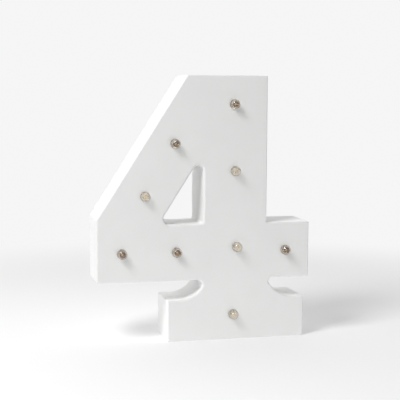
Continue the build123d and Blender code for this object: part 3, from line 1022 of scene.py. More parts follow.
@dataclass(frozen=True)
class Finish:
    """A finish: its colour and how that drifts, its gloss and its relief.

    Attributes:
        name: The material's name.
        colour: Its colour.
        shade: The colour that it drifts towards.
        drift: How far it drifts, from 0 to 1.
        drift_scale: How many drifts there are to a metre.
        roughness: Its mean roughness.
        unevenness: How far the roughness swings.
        grain_scale: How many grains there are to a metre.
        grain: The height of the grain.
        lump_scale: How many lumps there are to a metre.
        lumps: The height of the lumps.
        stroke: How closely drawn marks lie along each axis, if there are any.
        strokes: Their height.
        metallic: 1 for bare metal.
        rubbed: The colour of rubbed edges, if they show.
        subsurface: How much light goes through the skin of the material.
        coat: The weight of a clear coat.
        coat_roughness: Its roughness.
        specular: The level of its surface gloss, 0 where it is cast into resin that takes the gloss away.
    """

    name: str
    colour: tuple[float, float, float]
    shade: tuple[float, float, float]
    drift: float = 0.4
    drift_scale: float = 45.0
    roughness: float = 0.5
    unevenness: float = 0.12
    grain_scale: float = 2600.0
    grain: float = 0.02 * MM
    lump_scale: float = 240.0
    lumps: float = 0.02 * MM
    stroke: tuple[float, float, float] | None = None
    strokes: float = 0.0
    metallic: float = 0.0
    rubbed: tuple[float, float, float] | None = None
    subsurface: float = 0.0
    coat: float = 0.0
    coat_roughness: float = 0.03
    specular: float = 0.5

    def make(self, groups: Groups) -> bpy.types.Material:
        """Makes the material.

        Args:
            groups: The shared shader groups.

        Returns:
            The material.
        """
        made = bpy.data.materials.new(self.name)
        made.use_nodes = True
        made.node_tree.nodes.clear()
        graph = Graph(made.node_tree)
        place = graph.add("TexCoord").outputs["Object"]
        shader = graph.add("BsdfPrincipled")
        shader.inputs["Metallic"].default_value = self.metallic
        shader.inputs["Coat Weight"].default_value = self.coat
        shader.inputs["Coat Roughness"].default_value = self.coat_roughness
        shader.inputs["Specular IOR Level"].default_value = self.specular
        shader.inputs["Subsurface Weight"].default_value = self.subsurface
        shader.inputs["Subsurface Scale"].default_value = 1 * MM
        graph.feed(shader.inputs["Base Color"], self._colour(graph, groups, place))
        graph.feed(shader.inputs["Roughness"], self._roughness(graph, groups, place))
        bump = graph.add("Bump", Strength=1.0, Distance=1.0, Height=self._height(graph, groups, place))
        graph.feed(shader.inputs["Normal"], bump.outputs[0])
        self._output(graph, shader)
        return made

    def _colour(self, graph: Graph, groups: Groups, place: bpy.types.NodeSocket) -> bpy.types.NodeSocket:
        """The colour, drifting, with its rubbed edges.

        Args:
            graph: The material's graph.
            groups: The groups.
            place: The point on the surface.

        Returns:
            The output that carries it.
        """
        tone = graph.add("Group", node_tree=groups.tone)
        graph.feed(tone.inputs["Vector"], place)
        tone.inputs["Colour"].default_value = (*self.colour, 1)
        tone.inputs["Shade"].default_value = (*self.shade, 1)
        tone.inputs["Scale"].default_value = self.drift_scale
        tone.inputs["Amount"].default_value = self.drift
        if self.rubbed is None:
            return tone.outputs[0]
        mask = graph.add("Group", node_tree=groups.rubbed)
        graph.feed(mask.inputs["Vector"], place)
        mix = graph.add("Mix", data_type="RGBA")
        graph.feed(mix.inputs[0], mask.outputs[0])
        graph.feed(mix.inputs[6], tone.outputs[0])
        mix.inputs[7].default_value = (*self.rubbed, 1)
        return mix.outputs[2]

    def _roughness(self, graph: Graph, groups: Groups, place: bpy.types.NodeSocket) -> bpy.types.NodeSocket:
        """The roughness, varied by handling.

        Args:
            graph: The material's graph.
            groups: The groups.
            place: The point on the surface.

        Returns:
            The output that carries it.
        """
        gloss = graph.add("Group", node_tree=groups.gloss)
        graph.feed(gloss.inputs["Vector"], place)
        gloss.inputs["Roughness"].default_value = self.roughness
        gloss.inputs["Amount"].default_value = self.unevenness
        return gloss.outputs[0]

    def _height(self, graph: Graph, groups: Groups, place: bpy.types.NodeSocket) -> bpy.types.NodeSocket:
        """The relief as a height in metres.

        Args:
            graph: The material's graph.
            groups: The groups.
            place: The point on the surface.

        Returns:
            The output that carries it.
        """
        relief = graph.add("Group", node_tree=groups.relief)
        graph.feed(relief.inputs["Vector"], place)
        relief.inputs["Grain scale"].default_value = self.grain_scale
        relief.inputs["Grain"].default_value = self.grain
        relief.inputs["Lump scale"].default_value = self.lump_scale
        relief.inputs["Lumps"].default_value = self.lumps
        height = relief.outputs[0]
        if self.stroke is None:
            return height
        drawn = graph.add("Group", node_tree=groups.strokes)
        graph.feed(drawn.inputs["Vector"], place)
        drawn.inputs["Stretch"].default_value = self.stroke
        return graph.math("ADD", height, graph.math("MULTIPLY", drawn.outputs[0], self.strokes))

    def _output(self, graph: Graph, shader: bpy.types.Node) -> None:
        """Puts the shader out."""
        graph.add("OutputMaterial", Surface=shader.outputs[0])


@dataclass(frozen=True)
class PaperedPaint(Finish):
    """Matt paint over laid paper: the pieces of paper show faintly through it.

    Attributes:
        lap: The height of the steps between pieces of paper.
    """

    lap: float = 0.05 * MM

    def _height(self, graph: Graph, groups: Groups, place: bpy.types.NodeSocket) -> bpy.types.NodeSocket:
        """The relief with the laps of the paper under it.

        Args:
            graph: The material's graph.
            groups: The groups.
            place: The point on the surface.

        Returns:
            The output that carries it.
        """
        laps = graph.add("Group", node_tree=groups.laps)
        graph.feed(laps.inputs["Vector"], place)
        return graph.math(
            "ADD", super()._height(graph, groups, place), graph.math("MULTIPLY", laps.outputs[0], self.lap)
        )


@dataclass(frozen=True)
class ClearResin(Finish):
    """Clear resin, which lets the light of the lamps through to what is cast into it.

    Attributes:
        cast: The share of a lamp's light that crosses it, which sets how dark a shadow it throws.
        fill: The share of the light from all round that crosses it.
        refraction: Its refractive index.
        clarity: The share of it that is clear; the rest is haze.
        edge: Painted shade: the darker colour that its base colour takes where it is seen edge on, standing
            in for the darker surroundings seen in it there.
        painted_rim_shade_start: How far it is turned from the eye where that painted shade begins, from 0 to
            1.
        painted_rim_shade_full: How far it is turned where it has wholly taken that colour.
    """

    cast: tuple[float, float, float] = (0.45, 0.44, 0.41)
    fill: tuple[float, float, float] = (0.95, 0.945, 0.93)
    refraction: float = 1.53
    clarity: float = 0.93
    # painted shade towards the silhouette
    edge: tuple[float, float, float] = (0.3, 0.24, 0.16)
    painted_rim_shade_start: float = 0.3
    painted_rim_shade_full: float = 0.85

    def _colour(self, graph: Graph, groups: Groups, place: bpy.types.NodeSocket) -> bpy.types.NodeSocket:
        """The colour, with painted shade: darker where the resin is seen edge on, standing in for the darker
        surroundings seen in it there.

        Args:
            graph: The material's graph.
            groups: The groups.
            place: The point on the surface.

        Returns:
            The output that carries it.
        """
        # painted shade: the colour darkens towards the silhouette
        turned = graph.add("LayerWeight", Blend=0.5).outputs["Facing"]
        mix = graph.add("Mix", data_type="RGBA")
        graph.feed(mix.inputs[0], graph.spread(turned, self.painted_rim_shade_start, self.painted_rim_shade_full, 0.0, 1.0))
        graph.feed(mix.inputs[6], super()._colour(graph, groups, place))
        mix.inputs[7].default_value = (*self.edge, 1)
        return mix.outputs[2]

    def _output(self, graph: Graph, shader: bpy.types.Node) -> None:
        """Puts out glass, and plain filters for the light that falls through it onto the face.

        Light is filtered where it enters and not where it leaves, so what is cast into the resin is lit in
        full.

        Args:
            graph: The material's graph.
            shader: The resin's shader.
        """
        shader.inputs["Transmission Weight"].default_value = self.clarity
        shader.inputs["IOR"].default_value = self.refraction
        glass = shader.outputs[0]
        cast, fill, leaving = (
            graph.add("BsdfTransparent", Color=(*c, 1)).outputs[0] for c in (self.cast, self.fill, (1, 1, 1))
        )
        path = graph.add("LightPath")
        from_inside = graph.add("NewGeometry").outputs["Backfacing"]
        crossing = self._either(graph, path.outputs["Transparent Depth"], glass, leaving)
        bounced = self._either(graph, from_inside, fill, crossing)
        lit = self._either(graph, from_inside, cast, leaving)
        shown = self._either(graph, path.outputs["Is Diffuse Ray"], glass, bounced)
        shown = self._either(graph, path.outputs["Is Shadow Ray"], shown, lit)
        graph.add("OutputMaterial", Surface=shown)

    @staticmethod
    def _either(
        graph: Graph, test: bpy.types.NodeSocket, no: bpy.types.NodeSocket, yes: bpy.types.NodeSocket
    ) -> bpy.types.NodeSocket:
        """One shader where the test is 0, the other where it is 1.

        Args:
            graph: The graph to work in.
            test: The output that is tested.
            no: The shader for 0.
            yes: The shader for 1.

        Returns:
            The output that carries the one or the other.
        """
        mix = graph.add("MixShader")
        for socket, source in zip(mix.inputs, (test, no, yes)):
            graph.feed(socket, source)
        return mix.outputs[0]


@dataclass(frozen=True)
class Finishes:
    """Every finish of the numeral, in the order in which their materials are made."""

    paint: Finish = PaperedPaint(
        "white matt paint",
        (0.86, 0.86, 0.855),
        (0.825, 0.825, 0.82),
        drift=0.5,
        drift_scale=28.0,
        roughness=0.62,
        grain_scale=1400.0,
        grain=0.012 * MM,
        lump_scale=150.0,
        lumps=0.05 * MM,
        stroke=(60.0, 60.0, 420.0),
        strokes=0.015 * MM,
    )
    board: Finish = Finish(
        "kraft board",
        (0.40, 0.30, 0.20),
        (0.28, 0.20, 0.13),
        drift=0.8,
        drift_scale=220.0,
        roughness=0.85,
        grain=0.05 * MM,
        lumps=0.05 * MM,
    )
    # Both resins darken towards their silhouettes by their edge colour: painted shade.
    resin: Finish = ClearResin(
        "clear resin", (0.99, 0.985, 0.975), (0.97, 0.965, 0.95), 0.2, roughness=0.03, unevenness=0.03,
        grain=0.0, lumps=0.002 * MM, coat=0.8, coat_roughness=0.4,
    )
    hazy_resin: Finish = ClearResin(
        "hazy resin", (0.985, 0.975, 0.93), (0.965, 0.955, 0.9), 0.2, roughness=0.05, unevenness=0.03,
        grain=0.0, lumps=0.002 * MM, coat=0.8, coat_roughness=0.4, clarity=0.85, edge=(0.5, 0.45, 0.35),
    )
    # Lining of the wide cups: a dark brown that is partly painted shade, standing in for the shade deep
    # inside the lamp.
    shaded_brown_cup: Finish = Finish(
        "brown cup with painted shade", (0.125, 0.06, 0.014), (0.075, 0.036, 0.008), drift_scale=900.0, roughness=0.5,
        grain=0.004 * MM, lumps=0.01 * MM, lump_scale=1500.0, specular=0.0,
    )
    silver: Finish = Finish(
        "silvered lead frame", (0.82, 0.79, 0.73), (0.6, 0.56, 0.5), roughness=0.28, metallic=1.0,
        grain=0.004 * MM, lumps=0.004 * MM, grain_scale=9000.0, lump_scale=2500.0,
    )
    phosphor: Finish = Finish(
        "yellow phosphor", (0.85, 0.58, 0.26), (0.75, 0.47, 0.18), drift_scale=3000.0, roughness=0.55,
        grain_scale=12000.0, grain=0.004 * MM, lumps=0.0, subsurface=0.1, specular=0.0,
    )
    gold: Finish = Finish(
        "gold bond wire", (0.9, 0.68, 0.3), (0.8, 0.58, 0.24), roughness=0.25, metallic=1.0, grain=0.0,
        lumps=0.0,
    )
    glue: Finish = Finish(
        "hot glue", (0.93, 0.875, 0.79), (0.89, 0.82, 0.71), roughness=0.3, drift_scale=300.0, grain=0.0,
        lumps=0.12 * MM, lump_scale=400.0, subsurface=0.08, coat=0.3,
    )
    red: Finish = Finish(
        "red insulation", (0.55, 0.03, 0.025), (0.4, 0.02, 0.02), roughness=0.42,
    )
    black: Finish = Finish(
        "black insulation", (0.02, 0.02, 0.021), (0.035, 0.034, 0.033), roughness=0.45,
    )
    housing: Finish = Finish(
        "white moulding", (0.8, 0.8, 0.785), (0.765, 0.76, 0.74), drift=0.35, drift_scale=30.0,
        roughness=0.42, grain_scale=3200.0, grain=0.006 * MM, lumps=0.004 * MM, subsurface=0.05,
    )
    wrap: Finish = Finish(
        "cell wrap", (0.035, 0.04, 0.05), (0.05, 0.055, 0.065), roughness=0.3, coat=0.4, lumps=0.01 * MM,
        lump_scale=120.0,
    )
    band: Finish = Finish(
        "cell band", (0.72, 0.73, 0.74), (0.62, 0.63, 0.65), roughness=0.28, coat=0.4, lumps=0.01 * MM,
        lump_scale=120.0,
    )
    nickel: Finish = Finish(
        "nickel plate", (0.72, 0.7, 0.66), (0.6, 0.58, 0.54), roughness=0.3, metallic=1.0, grain=0.004 * MM,
        lumps=0.004 * MM, stroke=(900.0, 60.0, 60.0), strokes=0.006 * MM,
    )
    zinc: Finish = Finish(
        "zinc plate", (0.62, 0.63, 0.66), (0.5, 0.51, 0.55), roughness=0.36, metallic=1.0, grain=0.006 * MM,
        lumps=0.006 * MM, drift_scale=500.0,
    )
    knob: Finish = Finish(
        "black moulding", (0.028, 0.028, 0.03), (0.045, 0.045, 0.046), roughness=0.4, grain_scale=5000.0,
        grain=0.012 * MM, rubbed=(0.07, 0.07, 0.07),
    )
    tin: Finish = Finish(
        "tinned copper", (0.66, 0.64, 0.6), (0.5, 0.47, 0.42), roughness=0.35, metallic=1.0,
        grain=0.005 * MM, lumps=0.01 * MM, lump_scale=1500.0,
    )


# The papered case


@dataclass(frozen=True)
class HandWork:
    """How far hand-laid paper strays from the true board.

    Attributes:
        broad, broad_pitch: The largest stray of the broad waves, and their length.
        fine, fine_pitch: The same of the fine waves.
        ragged, ragged_pitch: The same at the rim of the counter and of the brackets.
        ragged_reach: How far from such a rim they die away.
        rim_reach: How far from a rim the paper no longer strays within the face.
        floor_reach: How far above the floor it no longer strays upright.
    """

    RAGGED_PLACE = Vector((7.3, 1.1, 4.2))

    broad: float = 0.14 * MM
    broad_pitch: float = 42 * MM
    fine: float = 0.05 * MM
    fine_pitch: float = 12 * MM
    ragged: float = 0.42 * MM
    ragged_pitch: float = 15 * MM
    ragged_reach: float = 5 * MM
    rim_reach: float = 9 * MM
    floor_reach: float = 6 * MM

    def stray(self, place: Vector, rim_gap: float, ragged_gap: float) -> Vector:
        """How far a point of the skin strays.

        Args:
            place: The point on the true board.
            rim_gap: Its distance from the nearest rim of the face.
            ragged_gap: Its distance from the nearest ragged rim.

        Returns:
            The stray as a step.
        """
        step = noise.noise_vector(place / self.broad_pitch) * self.broad
        step += noise.noise_vector(place / self.fine_pitch) * self.fine
        in_face = math.exp(-((rim_gap / self.rim_reach) ** 2))
        step.x *= in_face
        step.z *= in_face
        share = math.exp(-((ragged_gap / self.ragged_reach) ** 2))
        ragged = noise.noise_vector(place / self.ragged_pitch + self.RAGGED_PLACE)
        step += ragged * (self.ragged * share)
        step.z *= min(1.0, max(0.0, place.z / self.floor_reach))
        return step


@dataclass
class PaperedCase:
    """The hollow case: front board, wall, counter wall and back board, papered over and painted as one skin.

    Each arris has a mean radius and swings by arris_swing over arris_pitch. Round a bracket it widens within
    bracket_reach, and beside it lies a flat band as wide as support. The points of a rim, of a face and of a
    wall lie widest, spacing and wall_step apart. The housing's plate laps over the board by lap_side and
    lap_end, and the paper lies flatter within calm_margin of it. keyhole_centre is the Z of its entry.
    """

    plan: NumeralPlan
    lamp_places: Sequence[Vector]
    hand: HandWork = field(default_factory=HandWork)
    front_arris: float = 0.85 * MM
    bracket_arris: float = 1.5 * MM
    bracket_reach: float = 7 * MM
    counter_arris: float = 1.8 * MM
    back_arris: float = 0.85 * MM
    arris_swing: float = 0.22
    arris_pitch: float = 17 * MM
    arris_steps: int = 6
    support: float = 0.5 * MM
    rounding: float = 0.75 * MM
    widest: float = 2.6 * MM
    spacing: float = 3.2 * MM
    wall_step: float = 3.6 * MM
    lamp_hole: float = 4.12 * MM
    hole_lip: float = 0.35 * MM
    hole_sides: int = 36
    wall: float = 3.0 * MM
    lap_side: float = 5.6 * MM
    lap_end: float = 5.4 * MM
    cut_out_gap: float = 0.3 * MM
    cut_out_steps: int = 12
    keyhole_centre: float = 189.0 * MM
    keyhole_entry: float = 4.25 * MM
    keyhole_slot: float = 2.0 * MM
    keyhole_rise: float = 9.0 * MM
    hole_step: float = 0.6 * MM
    slot_step: float = 0.5 * MM
    screw_hole: float = 1.15 * MM
    calm_margin: float = 4 * MM

    def __post_init__(self) -> None:
        """Samples both rims."""
        self.outline = Rim(self.plan.outline(), self.rounding, self.widest)
        self.counter = Rim(self.plan.counter(), self.rounding, self.widest)
        bracket = [c.place for c in self.plan.outline() if not c.papered]
        within = 2 * self.plan.arc_step
        joined = [pair for pair in zip(bracket, bracket[1:]) if (pair[0] - pair[1]).length < within]
        self.curves = np.array([[*a, *b] for a, b in joined])
        self.rims = np.vstack([self.outline.edges(), self.counter.edges()])
        self.ragged = np.vstack([self.counter.edges(), self.curves])

    def build(self, finishes: "Palette") -> None:
        """Builds the four painted pieces.

        Args:
            finishes: The materials.
        """
        coats = [finishes.paint, finishes.board]
        walls = [f"wall_{n}" for n in (
            "foot_underside", "foot_left", "foot_right", "bracket_left", "bracket_right", "bar_underside",
            "arm_underside", "left_end", "diagonal", "top", "stem_right", "arm_top", "arm_end")]
        for name, draft, nodes in (
            ("papered_face", self._face(), ["front_panel"]),
            ("papered_wall", self._band(self.outline, self.wall), walls),
            ("papered_counter", self._band(self.counter, self.plan.counter_board), ["counter_wall"]),
            ("papered_back", self._back(), ["back_panel"]),
        ):
            self._stray(draft)
            hand_over(place_piece(name, draft.mesh(name, coats)), Body.CASE, "painted_board", *nodes)

    def _arris(self, rim: Rim, mean: float) -> list[float]:
        """The radius of the arris at each sample of a rim.

        Args:
            rim: The rim.
            mean: The mean radius.

        Returns:
            The radii.
        """
        places = rim.ring(lambda _: 0.0)
        near = np.exp(-((distance_to(self.curves, np.array(places)) / self.bracket_reach) ** 2))
        swings = [self.arris_swing * noise.noise(at_depth(p, mean) / self.arris_pitch) for p in places]
        return [(mean + (self.bracket_arris - mean) * n) * (1 + swing) for n, swing in zip(near, swings)]

    def _edge(
        self, draft: Draft, rim: Rim, mean: float, face: float, seam: float
    ) -> tuple[list[int], list[int]]:
        """Adds the rounded edge of a board from its seam with the wall to its face.

        Args:
            draft: The board's mesh.
            rim: The rim to follow.
            mean: The mean radius of the arris.
            face: The Y of the face.
            seam: The Y of the seam.

        Returns:
            The ring at the seam and the ring on the face.
        """
        radii = self._arris(rim, mean)
        inward = 1 if seam > face else -1
        levels = [(lambda i: 0.0, lambda i: seam)]
        deep = abs(seam - face) - self.support / 2
        levels.append((lambda i: 0.0, lambda i: face + inward * min(radii[i] + self.support, deep)))
        for step in range(self.arris_steps + 1):
            turn = math.pi / 2 * step / self.arris_steps
            inset, drop = 1 - math.cos(turn), 1 - math.sin(turn)
            levels.append((
                lambda i, share=inset: radii[i] * share,
                lambda i, share=drop: face + inward * radii[i] * share,
            ))
        levels.append((lambda i: radii[i] + self.support, lambda i: face))
        rings = []
        for inset, depth in levels:
            places = rim.ring(inset)
            rings.append(draft.ring(at_depth(p, depth(i)) for i, p in enumerate(places)))
        for first, second in zip(rings, rings[1:]):
            draft.bridge(first, second)
        return rings[0], rings[-1]

    def _hole(
        self, draft: Draft, loop: Sequence[Vector], centre: Vector, face: float, seam: float
    ) -> tuple[list[int], list[int]]:
        """Adds a hole through a board: a raw bore with a lip softened by paint.

        Args:
            draft: The board's mesh.
            loop: The hole's edge.
            centre: Its middle.
            face: The Y of the painted face.
            seam: The Y of the other face.

        Returns:
            The rings at the seam and on the face.
        """
        inward = 1 if seam > face else -1
        rings = []
        for grow, drop in ((0.0, abs(seam - face)), (0.0, self.hole_lip), (0.3, 0.3), (1.0, 0.0)):
            lip = grow * self.hole_lip
            depth = drop if grow == 0.0 else drop * self.hole_lip
            rings.append(draft.ring(
                at_depth(p + (p - centre).normalized() * lip, face + inward * depth) for p in loop
            ))
        for i, (first, second) in enumerate(zip(rings, rings[1:])):
            draft.bridge(first, second, finish=0 if i else 1)
        return rings[0], rings[-1]

    def _face(self) -> Draft:
        """The front board: its rounded edges, its lamp holes and its bare rear.

        Returns:
            Its mesh in the making.
        """
        draft = Draft()
        front, seam = self.plan.front, self.plan.front + self.plan.board
        outer_seam, outer_face = self._edge(draft, self.outline, self.front_arris, front, seam)
        inner_seam, inner_face = self._edge(draft, self.counter, self.counter_arris, front, seam)
        side = FULL_TURN * self.lamp_hole / self.hole_sides
        holes = [
            self._hole(draft, arc(p, self.lamp_hole, 0, 360, side)[:-1], p, front, seam)
            for p in self.lamp_places
        ]
        draft.fill(outer_face, [inner_face, *[h[1] for h in holes]], front, self.spacing)
        draft.fill(outer_seam, [inner_seam, *[h[0] for h in holes]], seam, 0, finish=1)
        return draft

    def _band(self, rim: Rim, thickness: float) -> Draft:
        """A wall between the two boards along a rim.

        Args:
            rim: The rim.
            thickness: The wall's thickness.

        Returns:
            Its mesh in the making.
        """
        draft = Draft()
        start, end = self.plan.front + self.plan.board, self.plan.back - self.plan.board
        count = round((end - start) / self.wall_step)
        depths = [start + (end - start) * i / count for i in range(count + 1)]
        outside = rim.ring(lambda _: 0.0)
        inner = rim.ring(lambda _: thickness)
        rings = [draft.ring(at_depth(p, y) for p in outside) for y in depths]
        for first, second in zip(rings, rings[1:]):
            draft.bridge(first, second)
        inner_rings = [draft.ring(at_depth(p, y) for p in inner) for y in (end, start)]
        draft.bridge(rings[-1], inner_rings[0], finish=1)
        draft.bridge(inner_rings[0], inner_rings[1], finish=1)
        draft.bridge(inner_rings[1], rings[0], finish=1)
        return draft

    def _back(self) -> Draft:
        """The back board with the housing's cut-out, the screw holes and the keyhole.

        Returns:
            Its mesh in the making.
        """
        draft = Draft()
        back, seam = self.plan.back, self.plan.back - self.plan.board
        outer_seam, outer_face = self._edge(draft, self.outline, self.back_arris, back, seam)
        inner_seam, inner_face = self._edge(draft, self.counter, self.back_arris, back, seam)
        low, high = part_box("battery_housing")
        half = high.x - self.lap_side + self.cut_out_gap
        bottom, top = low.z + self.lap_end - self.cut_out_gap, high.z - self.lap_end + self.cut_out_gap
        corners = [Vector(p) for p in ((-half, bottom), (half, bottom), (half, top), (-half, top))]
        steps = self.cut_out_steps
        sides = zip(corners, corners[1:] + corners[:1])
        cut_out = [a.lerp(b, i / steps) for a, b in sides for i in range(steps)]
        entry = Vector((0, self.keyhole_centre))
        head = entry + Vector((0, self.keyhole_rise))
        meet = math.degrees(math.acos(self.keyhole_slot / self.keyhole_entry))
        keyhole = arc(entry, self.keyhole_entry, meet, meet - (180 + 2 * meet), self.hole_step)
        keyhole += arc(head, self.keyhole_slot, 180, 0, self.slot_step)
        middles = [in_plan(middle_of(s)) for s in solids_of("housing_screws")]
        loops = [(cut_out, (corners[0] + corners[2]) / 2), (keyhole[::-1], (entry + head) / 2)]
        loops += [(arc(m, self.screw_hole, 0, 360, self.hole_step)[:-1], m) for m in middles]
        holes = [self._hole(draft, loop, centre, back, seam) for loop, centre in loops]
        draft.fill(outer_face, [inner_face, *[h[1] for h in holes]], back, self.spacing)
        draft.fill(outer_seam, [inner_seam, *[h[0] for h in holes]], seam, 0, finish=1)
        return draft

    def _stray(self, draft: Draft) -> None:
        """Moves a draft's points as hand-laid paper strays, calm where the housing and the lamps sit.

        Args:
            draft: The mesh in the making.
        """
        places = np.array([in_plan(p) for p in draft.points])
        rim_gaps = distance_to(self.rims, places)
        ragged_gaps = distance_to(self.ragged, places)
        low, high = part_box("battery_housing")
        for i, point in enumerate(draft.points):
            step = self.hand.stray(point, rim_gaps[i], ragged_gaps[i])
            over = max(low.x - point.x, point.x - high.x, low.z - point.z, point.z - high.z)
            if point.y > self.plan.back - 2 * self.plan.board:
                step.y *= min(1.0, max(0.0, over / self.calm_margin))
            draft.points[i] = point + step


class Palette:
    """The materials, made once from the finishes."""

    def __init__(self, finishes: Finishes) -> None:
        """Makes a material for each finish.

        Args:
            finishes: The finishes.
        """
        groups = Groups()
        for name, finish in vars(Finishes).items():
            if isinstance(finish, Finish):
                setattr(self, name, getattr(finishes, name).make(groups))


# Lamps


class Spot(Enum):
    """The lamps, row by row from the top and from left to right."""

    TOP = 0
    UPPER_DIAGONAL = 1
    MIDDLE = 2
    LOWER_DIAGONAL = 3
    LEFT_END = 4
    UNDER_COUNTER = 5
    CROSSING = 6
    ARM = 7
    FOOT = 8


@dataclass(frozen=True)
class Seat:
    """Where a lamp sits.

    Attributes:
        spot: Which lamp it is.
        base: The middle of its base, behind the front board.
        lead: The direction from its cathode lead to its anode lead.
    """

    spot: Spot
    base: Vector
    lead: Vector

    def matrix(self) -> Matrix:
        """The lamp's own frame: X along its leads, Z out of the face.

        Returns:
            The frame.
        """
        out = Vector((0, -1, 0))
        across = out.cross(self.lead)
        return Matrix.Translation(self.base) @ Matrix((self.lead, across, out)).transposed().to_4x4()


@dataclass(frozen=True)
class Cup:
    """The cup of a diode, which holds its chip.

    Attributes:
        outer: Its outer radius.
        mouth: The radius of its mouth.
        floor: The radius of its floor.
        top: How far its rim lies above the lamp's base.
        depth: How deep it is.
        dab: The radius of the phosphor over the chip.

    SHOULDER is where its outside turns upright, WEB the thickness of its floor and SUNK how deep the phosphor
    lies, all as shares of its depth. CROWN is the phosphor's height as a share of its radius.
    """

    SHOULDER = 0.3
    WEB = 0.1
    SUNK = 0.9
    CROWN = 0.8

    outer: float
    mouth: float
    floor: float
    top: float
    depth: float
    dab: float


@dataclass
class LampSet:
    """The nine clear diodes: resin body, silvered lead frame with its cup, phosphor, bond wire and glue.

    They are of two makes: five with a wide cup lined in dark brown, which is partly painted shade standing
    in for the shade deep inside the lamp, and four with a small bright cup in hazier resin. The stampings
    widen from anvil_shoulder to anvil_height above the base, and the cathode's stops at anvil_edge from the
    middle. The board's rear lies at panel_rear. The glue stands glue_depth behind the base in rings from its
    crest to its rim, falls as roundly as glue_swell says and wets glue_wet into the resin. Its film runs
    sleeve_rise along the lamp and stands off it by film_side at the board and by film_lip at its end.
    """

    radius: float = 4.0 * MM
    length: float = 11.0 * MM
    foot_round: float = 0.3 * MM
    sides: int = 48
    dome_steps: int = 14
    lead_half: float = 0.25 * MM
    lead_x: float = 1.27 * MM
    cathode_lead: float = 6.0 * MM
    anode_lead: float = 8.0 * MM
    anvil_shoulder: float = 2.0 * MM
    anvil_height: float = 3.4 * MM
    anvil_edge: float = 0.75 * MM
    bright_cup: Cup = Cup(1.25 * MM, 1.15 * MM, 0.6 * MM, 6.6 * MM, 0.9 * MM, 0.42 * MM)
    # the wide cup, lined in the dark brown that is partly painted shade
    shaded_brown_cup: Cup = Cup(2.1 * MM, 2.02 * MM, 0.8 * MM, 8.2 * MM, 1.6 * MM, 0.6 * MM)
    dab_steps: int = 6
    post_rise: float = 0.4 * MM
    post_gap: float = 0.15 * MM
    bond_radius: float = 0.045 * MM
    bond_steps: int = 8
    bond_sides: int = 6
    bond_arch: float = 0.5 * MM
    panel_rear: float = 1.2 * MM
    glue_reach: float = 2.4 * MM
    glue_depth: float = 1.1 * MM
    glue_crest: float = 0.8 * MM
    glue_rings: tuple[float, ...] = (0.0, 0.12, 0.3, 0.5, 0.7, 0.88, 1.0)
    glue_sides: int = 32
    glue_swell: float = 1.7
    glue_wobble: float = 0.16
    glue_sag: float = 0.25 * MM
    glue_wet: float = 0.06 * MM
    film_side: float = 0.09 * MM
    film_lip: float = 0.08 * MM
    sleeve_rise: float = 2.9 * MM
    row_height: float = 12 * MM
    pale: tuple[Spot, ...] = (Spot.MIDDLE, Spot.LOWER_DIAGONAL, Spot.CROSSING, Spot.FOOT)
    seats: list[Seat] = field(default_factory=list)

    def __post_init__(self) -> None:
        """Reads the seats from the frame's lenses and leads."""
        nodes = ("lamp_lenses", "lamp_anodes", "lamp_cathodes")
        middles = {node: [middle_of(solid) for solid in solids_of(node)] for node in nodes}
        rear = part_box("lamp_lenses")[1].y
        rows = sorted(middles["lamp_lenses"], key=lambda m: (-(m.z // self.row_height), m.x))
        for spot, middle in zip(Spot, rows):
            def nearest(node: str) -> Vector:
                """The middle of the node's solid nearest to this lens."""
                return min(middles[node], key=lambda m: (in_plan(m) - in_plan(middle)).length)

            lead = nearest("lamp_anodes") - nearest("lamp_cathodes")
            lead.y = 0
            self.seats.append(Seat(spot, Vector((middle.x, rear, middle.z)), lead.normalized()))

    def build(self, palette: Palette) -> None:
        """Builds every lamp.

        Args:
            palette: The materials.
        """
        makes = {}
        for pale in (False, True):
            cup = self.bright_cup if pale else self.shaded_brown_cup
            # the wide cups take the dark lining that is partly painted shade
            lining = palette.silver if pale else palette.shaded_brown_cup
            resin = palette.hazy_resin if pale else palette.resin
            makes[pale] = {
                "lamp_lens": (self._lens(resin), "clear_lens", "lamp_lenses"),
                "lamp_cathode": (self._cathode(cup, [palette.silver, lining]), "lead_frame", "lamp_cathodes"),
                "lamp_anode": (self._anode(cup, palette), "lead_frame", "lamp_anodes"),
                "lamp_phosphor": (self._phosphor(cup, palette), "phosphor", "lamp_chips"),
            }
        for seat in self.seats:
            number = seat.spot.value + 1
            for name, (mesh, slot, node) in makes[seat.spot in self.pale].items():
                hand_over(place_piece(f"{name}_{number}", mesh, seat.matrix()), Body.CASE, slot, node)
            glue = place_piece(f"lamp_glue_{number}", self._glue(palette, number), seat.matrix())
            hand_over(glue, Body.CASE, "hot_glue", "glue_dabs")

    def _lens(self, resin: bpy.types.Material) -> bpy.types.Mesh:
        """The resin body: a cylinder with a dome.

        Args:
            resin: The material of the resin.

        Returns:
            The mesh.
        """
        straight = self.length - self.radius
        quarter = [math.pi / 2 * i / self.dome_steps for i in range(self.dome_steps)]
        profile = [
            (0, 0),
            (self.radius / 2, 0),
            (self.radius - self.foot_round, 0),
            (self.radius - self.foot_round * 0.3, self.foot_round * 0.3),
            (self.radius, self.foot_round),
            *[(self.radius, self.foot_round + (straight - self.foot_round) * i / 4) for i in (1, 2, 3)],
            *[(self.radius * math.cos(a), straight + self.radius * math.sin(a)) for a in quarter],
            (0, self.length),
        ]
        draft = Draft()
        draft.lathe(profile, self.sides)
        return draft.mesh("lamp_lens", [resin])

